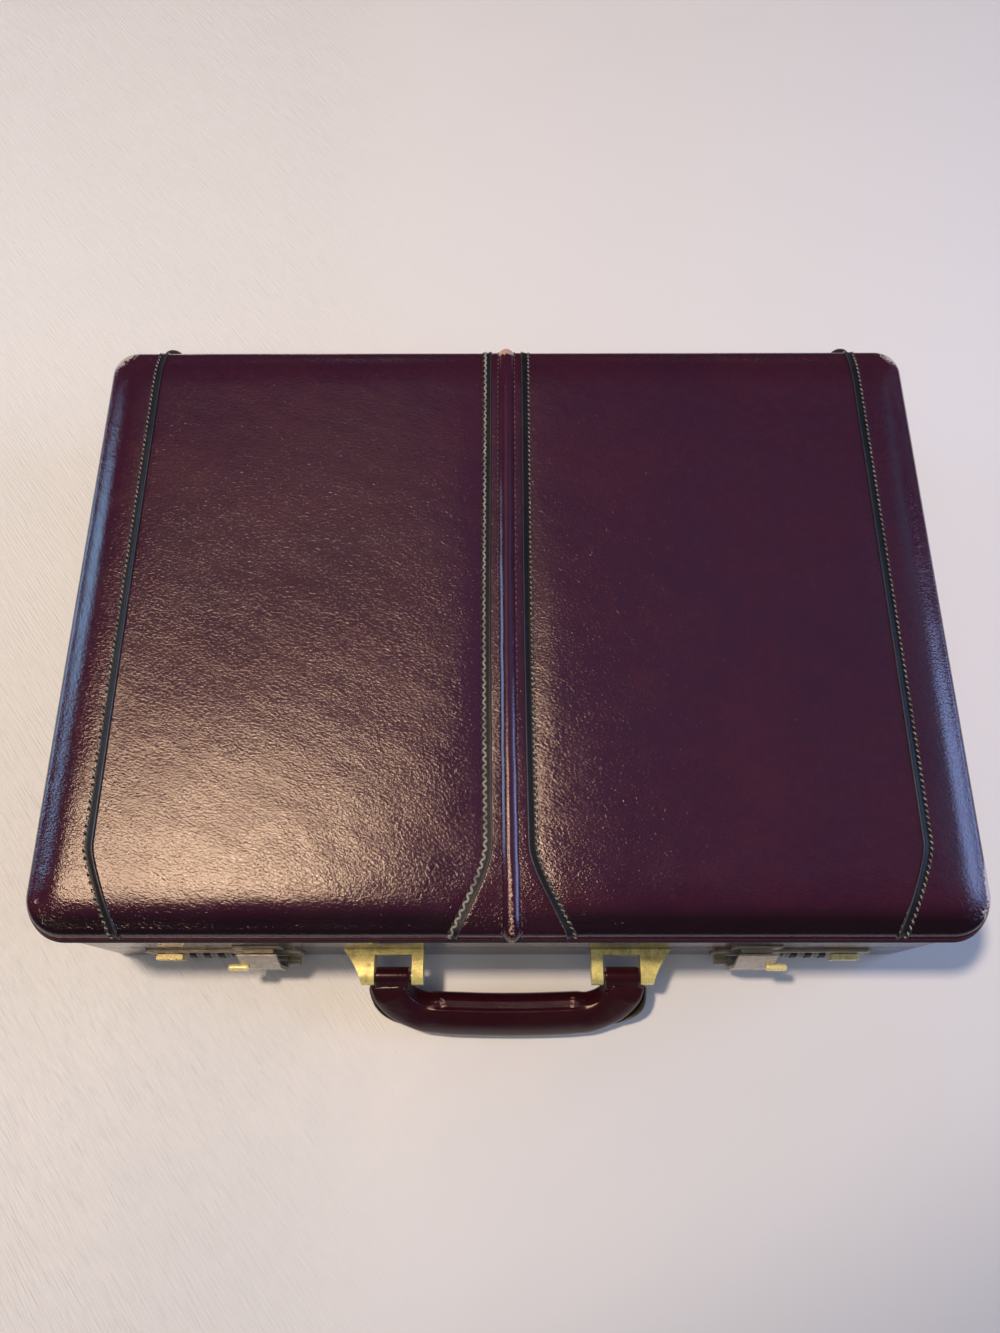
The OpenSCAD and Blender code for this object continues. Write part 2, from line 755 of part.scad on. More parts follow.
module button() {
    out_y = front_y - button_out;
    thumb_y = face_y - run_gap;
    bar_y = [front_y + run_gap, front_y + 4];
    color(brass) {
        difference() {
            block([button_x0, button_x1], [out_y, thumb_y],
                [lock_z - button_h / 2, lock_z + button_h / 2]);
            for (x = [button_x0 + 3:2:button_x1 - 3])
                block([x - 0.4, x + 0.4], [out_y - cut, out_y + 0.5],
                    [lock_z - button_h / 2 + 1.5, lock_z + button_h / 2 - 1.5]);
        }
        block(neck_x, [thumb_y, bar_y[0]], neck_z);
        block(bar_x, bar_y, [neck_z[0] - 1, neck_z[1] + 1]);
    }
}

// The return spring between a button's slide and the end of the lock case
spring_turns = 5;
spring_r = 1.6;
wire_r = 0.25;
spring_sides = 6;
spring_steps = 12;
module button_spring() {
    x0 = bar_x[1] + wire_r;
    run = case_x1 - case_wall - wire_r - x0;
    count = spring_turns * spring_steps;
    least_gap = run / spring_turns - 2 * wire_r;
    echo(least_gap_between_turns = least_gap);
    points = [for (i = [0:count]) let(a = 360 * i / spring_steps) for (j = [0:spring_sides - 1])
        let(b = 360 * j / spring_sides, r = spring_r + wire_r * cos(b))
        [x0 + run * i / count + wire_r * sin(b), front_y + 2.2 + r * cos(a),
            lock_z + r * sin(a)]];
    sides = [for (i = [0:count - 1]) for (j = [0:spring_sides - 1])
        let(k = (j + 1) % spring_sides, p = i * spring_sides, q = p + spring_sides)
        [p + j, q + j, q + k, p + k]];
    color(steel) polyhedron(points, concat([[for (j = [0:spring_sides - 1]) j]], sides,
        [[for (j = [spring_sides - 1:-1:0]) count * spring_sides + j]]));
}

module hasp() {
    out_y = front_y - hasp_out;
    low = hasp_pin_z - barrel_r;
    tip_y = front_y - 4;
    profile = [[hasp_pin_y - 1, low + 0.2], [out_y + 1, low + 2.4], [out_y, low + 5],
        [out_y, hasp_top - 14], [tip_y - hasp_t, hasp_top - 2.2], [tip_y - 0.8, hasp_top],
        [tip_y, hasp_top], [tip_y, hasp_top - 1.6], [out_y + hasp_t, hasp_top - 14],
        [out_y + hasp_t, low + 5.6], [hasp_pin_y, hasp_pin_z + 1.6]];
    color(brass) difference() {
        union() {
            along_x([hasp_x, hasp_x + hasp_w], hasp_pin_y, hasp_pin_z, barrel_r);
            translate([hasp_x, 0, 0]) rotate([90, 0, 90]) linear_extrude(hasp_w)
                polygon(profile);
        }
        along_x([hasp_x - cut, hasp_x + hasp_w + cut], hasp_pin_y, hasp_pin_z,
            hasp_pin_r + pin_gap);
    }
}

module hasp_pin() {
    along_x([hasp_x - run_gap - ear_w, hasp_x + hasp_w + run_gap + ear_outer_w],
        hasp_pin_y, hasp_pin_z, hasp_pin_r);
}

// The strike on the lid: its lip stands just behind the hasp's tip
module strike() {
    strike_z = base_h + rim_gap + 2;
    lip_z = hasp_top - 3.4;
    color(brass) {
        block([hasp_x - 2, hasp_x + hasp_w + 2], [front_y - 1.2, front_y],
            [strike_z, hasp_top + 4]);
        block([hasp_x + 2, hasp_x + hasp_w - 2], [front_y - 3.4, front_y - 1.2],
            [lip_z, lip_z + 1.4]);
    }
}

module lock_plate_left() { other_side() lock_plate(); }
module lock_plate_right() { lock_plate(); }
module lock_case_left() { other_side() lock_case(); }
module lock_case_right() { lock_case(); }
module dial_axles() { color(steel) both_sides() dial_axle(); }
module dial_left_1() { other_side() dial(0); }
module dial_left_2() { other_side() dial(1); }
module dial_left_3() { other_side() dial(2); }
module dial_right_1() { dial(0); }
module dial_right_2() { dial(1); }
module dial_right_3() { dial(2); }
module button_left() { other_side() button(); }
module button_right() { button(); }
module button_spring_left() { other_side() button_spring(); }
module button_spring_right() { button_spring(); }
module hasp_left() { other_side() hasp(); }
module hasp_right() { hasp(); }
module hasp_pins() { color(steel) both_sides() hasp_pin(); }
module strike_left() { other_side() strike(); }
module strike_right() { strike(); }

// Handle brackets: two arms on a crossbar, with a pin between the arms' ends
pin_y = front_y - pin_out;
arm_end = pin_out + arm_r;
slot_x = [bracket_x + inner_arm_w, bracket_x + inner_arm_w + slot_w];
outer_x = slot_x[1] + outer_arm_w;
flare_steps = 6;
flare_power = 1.5;

module bracket() {
    flare = [for (i = [1:flare_steps]) let(s = i / flare_steps)
        [outer_x + flare_w * pow(s, flare_power), arm_end * (s - 1)]];
    plan_points = concat([[bracket_x, 0], [bracket_x, -arm_end], [slot_x[0], -arm_end],
        [slot_x[0], -crossbar_t], [slot_x[1], -crossbar_t], [slot_x[1], -arm_end],
        [outer_x, -arm_end]], flare);
    side_points = concat([[0, arm_r], [0, -arm_r]], [for (i = [0:12])
        let(a = 15 * i) [-pin_out - arm_r * sin(a), -arm_r * cos(a)]]);
    color(brass) difference() {
        intersection() {
            translate([0, front_y, pin_z - arm_r - 1]) linear_extrude(2 * arm_r + 2)
                polygon(plan_points);
            translate([bracket_x - 1, front_y, pin_z]) rotate([90, 0, 90])
                linear_extrude(outer_x + flare_w - bracket_x + 2) polygon(side_points);
        }
        along_x([bracket_x - cut, outer_x + cut], pin_y, pin_z, pin_r);
        screw_shape();
    }
}

module bracket_left() { other_side() bracket(); }
module bracket_right() { bracket(); }
module bracket_screws() { color(steel) screw_shape(); }

module handle_pins() {
    color(steel) both_sides() along_x([bracket_x, outer_x], pin_y, pin_z, pin_r);
}

// Handle, drawn level and then let down until its grip lies on the table.
// Its own plane holds X and the distance u out from the pins.
loop_x = (slot_x[0] + slot_x[1]) / 2;
loop_w = slot_w - 0.6;
loop_end_u = loop_r + 0.7;
eye_r = 3.4;
eye_w = 10;
core_w = 3;
core_t = 1.5;
arm_in = grip_reach - shoulder_r;
shoulder_x = loop_x + 3.2;
straight_x = shoulder_x - shoulder_r;
grip_bow = 0.8;
straight_steps = 6;
shoulder_steps = 9;

// Middle line of one half of the grip as [x, u, slope angle], from the middle outwards
function half_line() = concat(
    [for (i = [0:straight_steps - 1]) let(s = i / straight_steps)
        [straight_x * s, grip_reach + grip_bow * (1 - s * s), 90]],
    [for (i = [0:shoulder_steps]) let(a = 90 - 80 * i / shoulder_steps)
        [straight_x + shoulder_r * cos(a), arm_in + shoulder_r * sin(a), a]]);
// Half sizes of the grip's section at a step along half_line
function section_a(i, n) = grip_a - 1.2 * pow(i / n, 3);
function section_b(i, n) = grip_b - (grip_b - loop_r - 0.8) * pow(i / n, 3);
grip_sides = 16;

function ring3(c, dir, a, b) = [for (j = [0:grip_sides - 1]) let(t = 360 * j / grip_sides,
        p = sign(cos(t)) * pow(abs(cos(t)), 0.8), q = sign(sin(t)) * pow(abs(sin(t)), 0.8))
    [c[0] + a * p * cos(dir), -(c[1] + a * p * sin(dir)), b * q]];
function half_rings() = let(line = half_line(), n = len(line) - 1) concat(
    [for (i = [0:n]) ring3(line[i], line[i][2], section_a(i, n), section_b(i, n))],
    [ring3([loop_x, loop_end_u + 1], 0, loop_w / 2, loop_r),
        ring3([loop_x, loop_end_u], 0, loop_w / 2, loop_r)]);
function other_ring(ring) = [for (p = ring) [-p[0], p[1], p[2]]];

module let_down() {
    translate([0, pin_y, pin_z]) rotate([droop, 0, 0]) children();
}

module level_core() {
    line = half_line();
    n = len(line) - 1;
    edge = concat([for (i = [0:n]) [line[i][0] + core_w * cos(line[i][2]),
            -(line[i][1] + core_w * sin(line[i][2]))]], [[loop_x + core_w, -eye_r], [loop_x + core_w, 0]],
        [[loop_x - core_w, 0], [loop_x - core_w, -eye_r]],
        [for (i = [n:-1:0]) [line[i][0] - core_w * cos(line[i][2]),
            -(line[i][1] - core_w * sin(line[i][2]))]]);
    both_sides() difference() {
        union() {
            translate([0, 0, -core_t]) linear_extrude(2 * core_t) polygon(edge);
            along_x([loop_x - eye_w / 2, loop_x + eye_w / 2], 0, 0, eye_r);
        }
        along_x([loop_x - eye_w, loop_x + eye_w], 0, 0, pin_r + pin_gap);
    }
}

module handle_core() { color(steel) let_down() level_core(); }

module handle_loops() {
    color(leather) let_down() difference() {
        both_sides() {
            along_x([loop_x - loop_w / 2, loop_x + loop_w / 2], 0, 0, loop_r);
            block([loop_x - loop_w / 2, loop_x + loop_w / 2], [-loop_end_u, 0],
                [0.3 - loop_r, loop_r - 0.3]);
        }
        both_sides() along_x([loop_x - loop_w, loop_x + loop_w], 0, 0, pin_r + pin_gap);
        both_sides() along_x([loop_x - eye_w / 2, loop_x + eye_w / 2], 0, 0, eye_r);
        level_core();
    }
}

module handle_grip() {
    right = half_rings();
    last = len(right) - 1;
    rings = concat([for (i = [last:-1:1]) other_ring(right[i])], right);
    count = len(rings);
    points = [for (ring = rings) for (p = ring) p];
    sides = [for (i = [0:count - 2]) for (j = [0:grip_sides - 1])
        let(k = (j + 1) % grip_sides, p = i * grip_sides, q = p + grip_sides)
        [p + j, p + k, q + k, q + j]];
    color(leather) let_down() difference() {
        polyhedron(points, concat([[for (j = [grip_sides - 1:-1:0]) j]], sides,
            [[for (j = [0:grip_sides - 1]) (count - 1) * grip_sides + j]]));
        level_core();
    }
}

base_board();
base_cover();
base_frame();
base_lining();
lid_board();
lid_padding();
lid_cover();
lid_frame();
lid_lining();
lid_welt();
centre_panel();
centre_bead();
strip_side_left();
strip_side_right();
strip_centre_left();
strip_centre_right();
organiser_panel();
organiser_gussets();
card_pockets();
pen_loops();
hinge_leaves_base();
hinge_leaves_lid();
hinge_pins();
hinge_screws_base();
hinge_screws_lid();
feet_base();
feet_lid();
stay_plates_base();
stay_plates_lid();
stay_lower_left();
stay_lower_right();
stay_upper_left();
stay_upper_right();
lock_plate_left();
lock_plate_right();
lock_case_left();
lock_case_right();
dial_axles();
dial_left_1();
dial_left_2();
dial_left_3();
dial_right_1();
dial_right_2();
dial_right_3();
button_left();
button_right();
button_spring_left();
button_spring_right();
hasp_left();
hasp_right();
hasp_pins();
strike_left();
strike_right();
bracket_left();
bracket_right();
bracket_screws();
handle_pins();
handle_core();
handle_loops();
handle_grip();
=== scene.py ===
"""A burgundy leather attache case, closed and lying on its back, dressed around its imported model.

The file follows the case as it is put together: where it lies and how it is lit, the
base, the padded lid and its trim, the handle on its brackets, the locks, the hinges and
the stays, and what is inside. Shapes are worked out in millimetres on grids and become
metres when a piece is made.
"""

import json
import math

import bmesh
import bpy
import numpy as np
from mathutils import Matrix, Vector


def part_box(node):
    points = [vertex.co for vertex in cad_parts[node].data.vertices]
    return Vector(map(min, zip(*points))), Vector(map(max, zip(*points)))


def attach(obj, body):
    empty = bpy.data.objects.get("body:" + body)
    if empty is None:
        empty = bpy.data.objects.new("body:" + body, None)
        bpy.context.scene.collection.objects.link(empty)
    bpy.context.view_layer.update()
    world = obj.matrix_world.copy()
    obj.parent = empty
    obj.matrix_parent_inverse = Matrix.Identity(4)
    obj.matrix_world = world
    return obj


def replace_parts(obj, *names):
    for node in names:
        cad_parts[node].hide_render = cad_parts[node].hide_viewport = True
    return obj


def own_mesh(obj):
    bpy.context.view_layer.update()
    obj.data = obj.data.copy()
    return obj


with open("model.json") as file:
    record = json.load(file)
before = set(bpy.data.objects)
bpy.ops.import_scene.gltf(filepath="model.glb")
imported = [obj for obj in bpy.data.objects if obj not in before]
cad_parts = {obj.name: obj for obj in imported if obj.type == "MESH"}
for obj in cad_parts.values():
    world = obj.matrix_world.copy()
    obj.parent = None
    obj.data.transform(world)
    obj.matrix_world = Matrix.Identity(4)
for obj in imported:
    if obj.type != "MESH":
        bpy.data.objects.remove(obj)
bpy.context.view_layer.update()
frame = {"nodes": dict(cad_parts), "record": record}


# The camera
# The photograph was taken by someone standing at the handle, with the camera held over
# the front edge of the case and looking steeply down. The lens sees 53 by 67 degrees.
def put_in_scene(name, data):
    """New object in the scene for a camera, a lamp, a text or a mesh."""
    made = bpy.data.objects.new(name, data)
    bpy.context.scene.collection.objects.link(made)
    return made


def placing(*columns):
    """Matrix that turns x, y and z into the first three columns and adds the fourth."""
    return Matrix([[column[i] for column in columns] for i in range(3)] + [[0, 0, 0, 1]])


photo_height = 1333
focal_length = 1000
eye = np.array([-0.0021, -0.2164, 0.575])
pitch, yaw, roll = np.radians([68.89, -0.47, -0.5])
forward = np.array([math.sin(yaw) * math.cos(pitch), math.cos(yaw) * math.cos(pitch), -math.sin(pitch)])
level = np.array([math.cos(yaw), -math.sin(yaw), 0])
upright = np.cross(level, forward)
right = math.cos(roll) * level + math.sin(roll) * upright
up = math.cos(roll) * upright - math.sin(roll) * level
camera = put_in_scene("camera", bpy.data.cameras.new("camera"))
camera.matrix_world = placing(right, up, -forward, eye)
camera.data.lens = camera.data.sensor_width * focal_length / photo_height
camera.data.clip_start, camera.data.clip_end = 0.01, 50
bpy.context.scene.camera = camera
bpy.context.scene.view_settings.view_transform = "Standard"


# The light
# A room with a dim, bluish ceiling. A warm bulb up to the left throws the shadows and its broad
# shade lies as a sheen on the left panel. Windows at both sides and the sky in the right one draw
# blue lines on round edges.
def lamp(name, place, target, size, colour, watts, mirrored=True, shines=True):
    """Rectangular soft lamp of width and height size at a place, facing a target. Glossy
    surfaces don't mirror it where mirrored is false, and only they show it where shines is."""
    light = bpy.data.lights.new(name, "AREA")
    light.shape = "RECTANGLE"
    light.size, light.size_y = size
    light.color = colour
    light.energy = watts
    lamp_object = put_in_scene(name, light)
    lamp_object.location = place
    lamp_object.visible_glossy = mirrored
    lamp_object.visible_diffuse = shines
    lamp_object.rotation_euler = (Vector(target) - Vector(place)).to_track_quat("-Z", "Y").to_euler()


lamp("warm_bulb", (-0.64, 0.02, 2.2), (-0.3, 0.0, 0), (0.16, 0.16), (1.0, 0.82, 0.64), 41, mirrored=False)
lamp("bulb_glint", (-0.62, 0.05, 2.19), (-0.62, 0.05, 0), (0.12, 0.12), (1.0, 0.8, 0.6), 1.3, shines=False)
lamp("warm_shade", (-1.02, 0.03, 2.2), (-1.02, 0.03, 0), (1.4, 0.84), (1.0, 0.69, 0.45), 37, shines=False)
lamp("warm_glow", (-0.65, 1.05, 2.2), (-0.65, 1.05, 0), (1.1, 1.1), (1.0, 0.75, 0.6), 1.5, shines=False)
lamp("ceiling", (0.1, 0.95, 2.2), (0.1, 0.95, 0), (2.4, 1.9), (0.5, 0.52, 1.0), 2.5, shines=False)
lamp("open_room", (0.0, -0.8, 1.9), (0, -0.1, 0), (2.0, 1.0), (1.0, 0.98, 0.96), 6, mirrored=False)
lamp("left_window", (-1.5, 0.5, 0.5), (0, 0.5, 0.5), (0.75, 0.6), (0.33, 0.62, 1.0), 6)
lamp("right_window", (1.5, 0.1, 0.75), (0, 0.1, 0.75), (0.75, 0.8), (0.36, 0.52, 1.0), 9)
lamp("right_sky", (1.5, 0.6, 1.6), (0, 0.6, 1.6), (1.6, 1.5), (0.12, 0.6, 1.0), 2.6, shines=False)
lamp("right_daylight", (1.5, -0.1, 0.6), (0, 0, 0), (1.2, 0.7), (0.36, 0.56, 1.0), 9, mirrored=False)

world = bpy.data.worlds.new("room")
world.use_nodes = True
bpy.context.scene.world = world
walls = world.node_tree.nodes["Background"]
walls.inputs["Color"].default_value = (0.95, 0.93, 1.0, 1)
walls.inputs["Strength"].default_value = 0.06


# The table
# A pale painted table top, which isn't part of the case. Its paint was brushed on, and the
# strokes show left of the case's middle. Its colour darkens towards the front, a painted falloff
# of the light, and a painted bluish shadow lies in the near right corner.
mm = 0.001


class Finish:
    """A material with one shader, and short ways to add the textures that feed it."""

    def __init__(self, name, colour, roughness, **sockets):
        self.material = bpy.data.materials.new(name)
        self.material.use_nodes = True
        self.nodes = self.material.node_tree.nodes
        self.links = self.material.node_tree.links
        self.shader = self.nodes["Principled BSDF"]
        self.place = self.nodes.new("ShaderNodeTexCoord").outputs["Object"]
        self.set("Base Color", (*colour, 1))
        self.set("Roughness", roughness)
        for socket, value in sockets.items():
            self.set(socket.replace("_", " "), value)

    def set(self, socket, value):
        """Sets a socket of the shader to a value, or links it to a texture's output."""
        self.give(self.shader.inputs[socket], value)

    def give(self, target, value):
        """Gives any socket a value, or links a texture's output to it."""
        if isinstance(value, bpy.types.NodeSocket):
            self.links.new(value, target)
        elif value is not None:
            target.default_value = value

    def at(self, turn=(0, 0, 0), scale=(1, 1, 1)):
        """Object coordinates along axes turned by degrees. A pattern is squeezed along each axis
        by its scale, so that a scale of 0.1 draws it out ten times as long."""
        node = self.nodes.new("ShaderNodeMapping")
        node.vector_type = "TEXTURE"
        self.links.new(self.place, node.inputs["Vector"])
        node.inputs["Rotation"].default_value = [math.radians(a) for a in turn]
        node.inputs["Scale"].default_value = [1 / s for s in scale]
        return node.outputs["Vector"]

    def noise(self, size, detail=3, place=None, distortion=0.0, rough=0.5):
        """Cloudy noise whose blots are about size millimetres across, from 0 to 1."""
        node = self.nodes.new("ShaderNodeTexNoise")
        self.links.new(place or self.place, node.inputs["Vector"])
        node.inputs["Scale"].default_value = 1 / (size * mm)
        node.inputs["Detail"].default_value = detail
        node.inputs["Roughness"].default_value = rough
        node.inputs["Distortion"].default_value = distortion
        return node.outputs["Fac"]

    def math(self, operation, a, b, c=None):
        """Sum or product of a and b, or a times b plus c, as the operation says."""
        node = self.nodes.new("ShaderNodeMath")
        node.operation = operation
        for socket, value in zip(node.inputs, (a, b, c)):
            self.give(socket, value)
        return node.outputs[0]

    def ramp(self, value, low, high, start=0.0, end=1.0):
        """Start below low, end above high, and a smooth rise between them."""
        node = self.nodes.new("ShaderNodeMapRange")
        node.interpolation_type = "SMOOTHSTEP"
        for socket, v in zip(node.inputs, (value, low, high, start, end)):
            self.give(socket, v)
        return node.outputs["Result"]

    def mix(self, share, a, b):
        """Colour a where share is 0 and colour b where it is 1."""
        node = self.nodes.new("ShaderNodeMix")
        node.data_type = "RGBA"
        self.give(node.inputs["Factor"], share)
        for socket, colour in (("A", a), ("B", b)):
            textured = isinstance(colour, bpy.types.NodeSocket)
            self.give(node.inputs[socket], colour if textured else (*colour, 1))
        return node.outputs["Result"]

    def attribute(self, name):
        """A value that is stored on the points of the mesh, and 0 where it has none."""
        node = self.nodes.new("ShaderNodeAttribute")
        node.attribute_name = name
        return node.outputs["Fac"]

    def relief(self, *layers):
        """Bumps, one over the other, each given as a texture and its depth in millimetres."""
        normal = None
        for height, depth in layers:
            node = self.nodes.new("ShaderNodeBump")
            node.inputs["Strength"].default_value = 1
            node.inputs["Distance"].default_value = depth * mm
            self.links.new(height, node.inputs["Height"])
            if normal:
                self.links.new(normal, node.inputs["Normal"])
            normal = node.outputs["Normal"]
        self.set("Normal", normal)


def make_mesh(name, points, faces, material):
    """Smooth object from points in millimetres and lists of faces, with one material."""
    mesh = bpy.data.meshes.new(name)
    mesh.from_pydata((np.asarray(points, float).reshape(-1, 3) * mm).tolist(), [], faces)
    mesh.polygons.foreach_set("use_smooth", np.full(len(mesh.polygons), True))
    mesh.materials.append(material)
    mesh.update()
    return put_in_scene(name, mesh)


paint = Finish("table_paint", (0.8, 0.77, 0.75), 0.42)
axes = paint.nodes.new("ShaderNodeSeparateXYZ")
paint.links.new(paint.place, axes.inputs[0])
brushed = paint.ramp(axes.outputs["X"], -0.02, -0.16)
strokes = paint.noise(1.1, 4, paint.at(turn=(0, 0, 37), scale=(1, 0.05, 1)))
paint.relief((paint.math("MULTIPLY", strokes, brushed), 0.9), (paint.noise(60, 2), 1.2))
paint.set("Roughness", paint.ramp(paint.noise(140, 3), 0.3, 0.7, 0.34, 0.46))
# Painted falloff of the light: the paint is greyer towards the front
painted_light_falloff = paint.mix(paint.ramp(axes.outputs["Y"], -0.4, 0.35), (0.69, 0.68, 0.68), (0.82, 0.79, 0.775))
# Painted bluish shadow in the near right corner of the table
corner = paint.math("MULTIPLY_ADD", axes.outputs["X"], -0.35, axes.outputs["Y"])
paint.set("Base Color", paint.mix(paint.ramp(corner, -0.3, -0.5), painted_light_falloff, (0.4, 0.42, 0.47)))
table_half = 2500
table_corners = table_half * np.array([(-1, -1, 0), (1, -1, 0), (1, 1, 0), (-1, 1, 0)])
make_mesh("table", table_corners, [(0, 1, 2, 3)], paint.material)


# The base: leather over a fibreboard tray
# Its walls and floor are covered in the same burgundy hide as the lid, glued down hard,
# with cut-outs for the lock cases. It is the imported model's own shape, with soft corners.
body_of = {node: body for body, nodes in frame["record"]["behaviour"]["bodies"].items() for node in nodes}


def dressed(node, material, edge=0.0, angle=32):
    """A node's own shape as a whole mesh: doubles merged, flat faces joined, its sharp edges
    rounded by edge millimetres and everything flatter than angle degrees shaded smooth."""
    weld, flat = 0.002 * mm, math.radians(0.6)
    piece = put_in_scene(f"{node}_dressed", frame["nodes"][node].data.copy())
    shape = bmesh.new()
    shape.from_mesh(piece.data)
    bmesh.ops.remove_doubles(shape, verts=shape.verts, dist=weld)
    bmesh.ops.dissolve_limit(shape, verts=shape.verts, edges=shape.edges, angle_limit=flat)
    for face in shape.faces:
        face.smooth = True
    for crease in shape.edges:
        crease.smooth = crease.calc_face_angle(0) < math.radians(angle)
    shape.to_mesh(piece.data)
    shape.free()
    piece.data.materials.clear()
    piece.data.materials.append(material)
    if edge:
        bevel = piece.modifiers.new("rounded_edges", "BEVEL")
        bevel.width = edge * mm
        bevel.segments = 2
        bevel.limit_method = "ANGLE"
        bevel.angle_limit = math.radians(angle)
        bevel.harden_normals = True
    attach(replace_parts(piece, node), body_of[node])
    return piece


def hide(name, colour, warm, roughness, wear_colour=(0.5, 0.43, 0.4), grain=1.0, gloss=0.9):
    """Glazed cowhide: a wavy grain over shallow folds, blotched between its colour and a warm
    one, scuffed to pale fibres where the piece's wear attribute says, and darkened by painted shade
    where its shade attribute says."""
    finish = Finish(name, colour, roughness, Specular_IOR_Level=gloss)
    blots = finish.math("ADD", finish.noise(70, 4, rough=0.6), finish.noise(5, 4, rough=0.7))
    cured = finish.mix(finish.ramp(blots, 0.75, 1.3), colour, warm)
    # Painted shade: the colour falls to a quarter where the piece's shade attribute says
    cured = finish.mix(finish.attribute("shade"), cured, tuple(0.25 * c for c in colour))
    fibres = finish.math("MULTIPLY", finish.noise(1.4, 4, rough=0.75), 0.9)
    worn = finish.ramp(finish.math("ADD", finish.attribute("wear"), fibres), 0.93, 1.05)
    finish.set("Base Color", finish.mix(worn, cured, wear_colour))
    polish = finish.ramp(finish.noise(18, 4), 0.3, 0.75, roughness - 0.03, roughness + 0.04)
    finish.set("Roughness", finish.math("ADD", polish, finish.math("MULTIPLY", worn, 0.3)))
    waves = finish.noise(1.7, 1, finish.at(turn=(0, 0, -24), scale=(1, 1.7, 1)), distortion=0.8)
    folds = finish.noise(26, 2, finish.at(turn=(0, 0, -30), scale=(1, 1.8, 1)))
    finish.relief((folds, 0.35 * grain), (waves, 0.16 * grain), (worn, -0.12))
    return finish.material


burgundy = hide("burgundy_hide", (0.032, 0.0045, 0.019), (0.044, 0.0056, 0.018), 0.165)
dressed("base_cover", burgundy)


# The padded lid leather
# One hide drawn over foam and down the walls. It is sewn down under the strips, so it swells
# between them, and it is worn to pale fibres at the corners and along the back edge. Where it
# rolls over in front it is darkened by painted shade.
def box_of(node):
    """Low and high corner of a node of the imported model, in millimetres."""
    return [np.array(corner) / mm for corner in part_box(node)]


lid_low, lid_high = box_of("lid_cover")
half_w, half_d, rim_z, top_z = lid_high[0], lid_high[1], lid_low[2], lid_high[2]
front_r, back_r, edge_r = 20.0, 14.0, 4.5
crown_h, crown_w = 3.0, 26.0
corner_size = 24.0
leather_t = 1.4
swell_h, swell_l = 1.5, 9
panel_h, dip_h, dip_l = 0.1, 0.2, 3
roll_h, roll_l, calm_edge = 0.24, 12, 15
slant = math.atan2(2 * crown_h, crown_w)
arc_span = math.pi / 2 - slant
arc_z = top_z - crown_h - edge_r * math.sin(arc_span)
arc_inset = edge_r * (1 - math.cos(arc_span))
side_strip_x, centre_strip_x, strip_w = 197.0, 8.3, 4.4
bend_l = 43.0


def bend(y, slope, knee):
    """Sideways run of a strip: none behind the bend, then a slope taken up over a knee, slope
    times (root of (way squared plus knee squared) minus knee), for the way into the bend."""
    way = np.clip(bend_l - half_d - y, 0, None)
    return slope * (np.sqrt(way * way + knee * knee) - knee)


def drift(y):
    """The middle trim leans to the right towards the front, by 2 mm in all."""
    return 2.0 * np.clip((40 - y) / 200, 0, 1) ** 2


def side_edge(y, side, out):
    """Edge of a side strip, out millimetres beyond its inner edge: its place less the bend."""
    return side * (side_strip_x + out - bend(y, 0.42, 6))


def centre_edge(y, side, out):
    """Edge of a centre strip, out millimetres beyond its inner edge: drift, place and bend."""
    return drift(y) + side * (centre_strip_x + out + bend(y, 0.55, 14))


def inset_of(x, y):
    """Distance in from the lid's outline: the shorter way to a wall or, in a corner, the
    corner's radius less the distance from its centre."""
    in_x, in_y = half_w - np.abs(x), half_d - np.abs(y)
    r = np.where(y < 0, front_r, back_r)
    rounded = r - np.hypot(np.clip(r - in_x, 0, None), np.clip(r - in_y, 0, None))
    return np.where((in_x < r) & (in_y < r), rounded, np.minimum(in_x, in_y))


def smooth_step(value, low, high):
    """0 below low, 1 above high, and s squared times (3 - 2s) between, s being the share."""
    s = np.clip((value - low) / (high - low), 0, 1)
    return s * s * (3 - 2 * s)


def padding(x, y):
    """Swell of the foam: a rise of swell_h that dies away over swell_l towards the middle seams,
    a dip of dip_h at the side seams, panel_h under the centre panel, nothing at the edge of the
    lid, and an uneven roll of four crossed waves that starts over roll_l from a seam."""
    seam = strip_w / 2
    side_reach = np.min([np.abs(x - side_edge(y, side, seam)) for side in (-1, 1)], axis=0)
    middle_reach = np.min([np.abs(x - centre_edge(y, side, seam)) for side in (-1, 1)], axis=0)
    middle = (x > centre_edge(y, -1, seam)) & (x < centre_edge(y, 1, seam))
    panel_swell = panel_h * (1 - np.exp(-middle_reach / dip_l))
    pad_swell = swell_h * (1 - np.exp(-middle_reach / swell_l)) - dip_h * np.exp(-side_reach / dip_l)
    swell = np.where(middle, panel_swell, pad_swell)
    roll = (
        np.sin(x / 31 + y / 57 + 1.3) + np.sin(x / 83 - y / 39 + 0.4)
        + np.sin(x / 19 - y / 23) * 0.4 + np.sin(x / 24 + y / 11 + np.sin(x / 37)) * 0.16
    ) * roll_h
    roll = roll * np.clip(np.minimum(side_reach, middle_reach) / roll_l, 0, 1)
    return (swell + roll) * smooth_step(inset_of(x, y), arc_inset, calm_edge)


def crown(x, y):
    """Height of the lid's top: a parabola from the rounding up to the flat middle over crown_w,
    ruled by the outline near the edge and by a softer outline further in."""
    inset = inset_of(x, y)
    down_x = 1 - np.clip((half_w - arc_inset - np.abs(x)) / crown_w, 0, 1)
    down_y = 1 - np.clip((half_d - arc_inset - np.abs(y)) / crown_w, 0, 1)
    near = np.clip((inset - arc_inset) / crown_w, 0, 1)
    soft = np.clip(1 - np.hypot(down_x, down_y), 0, 1)
    blend = smooth_step(inset, arc_inset, back_r)
    s = near * (1 - blend) + soft * blend
    return top_z - crown_h * (1 - s) ** 2 + padding(x, y)


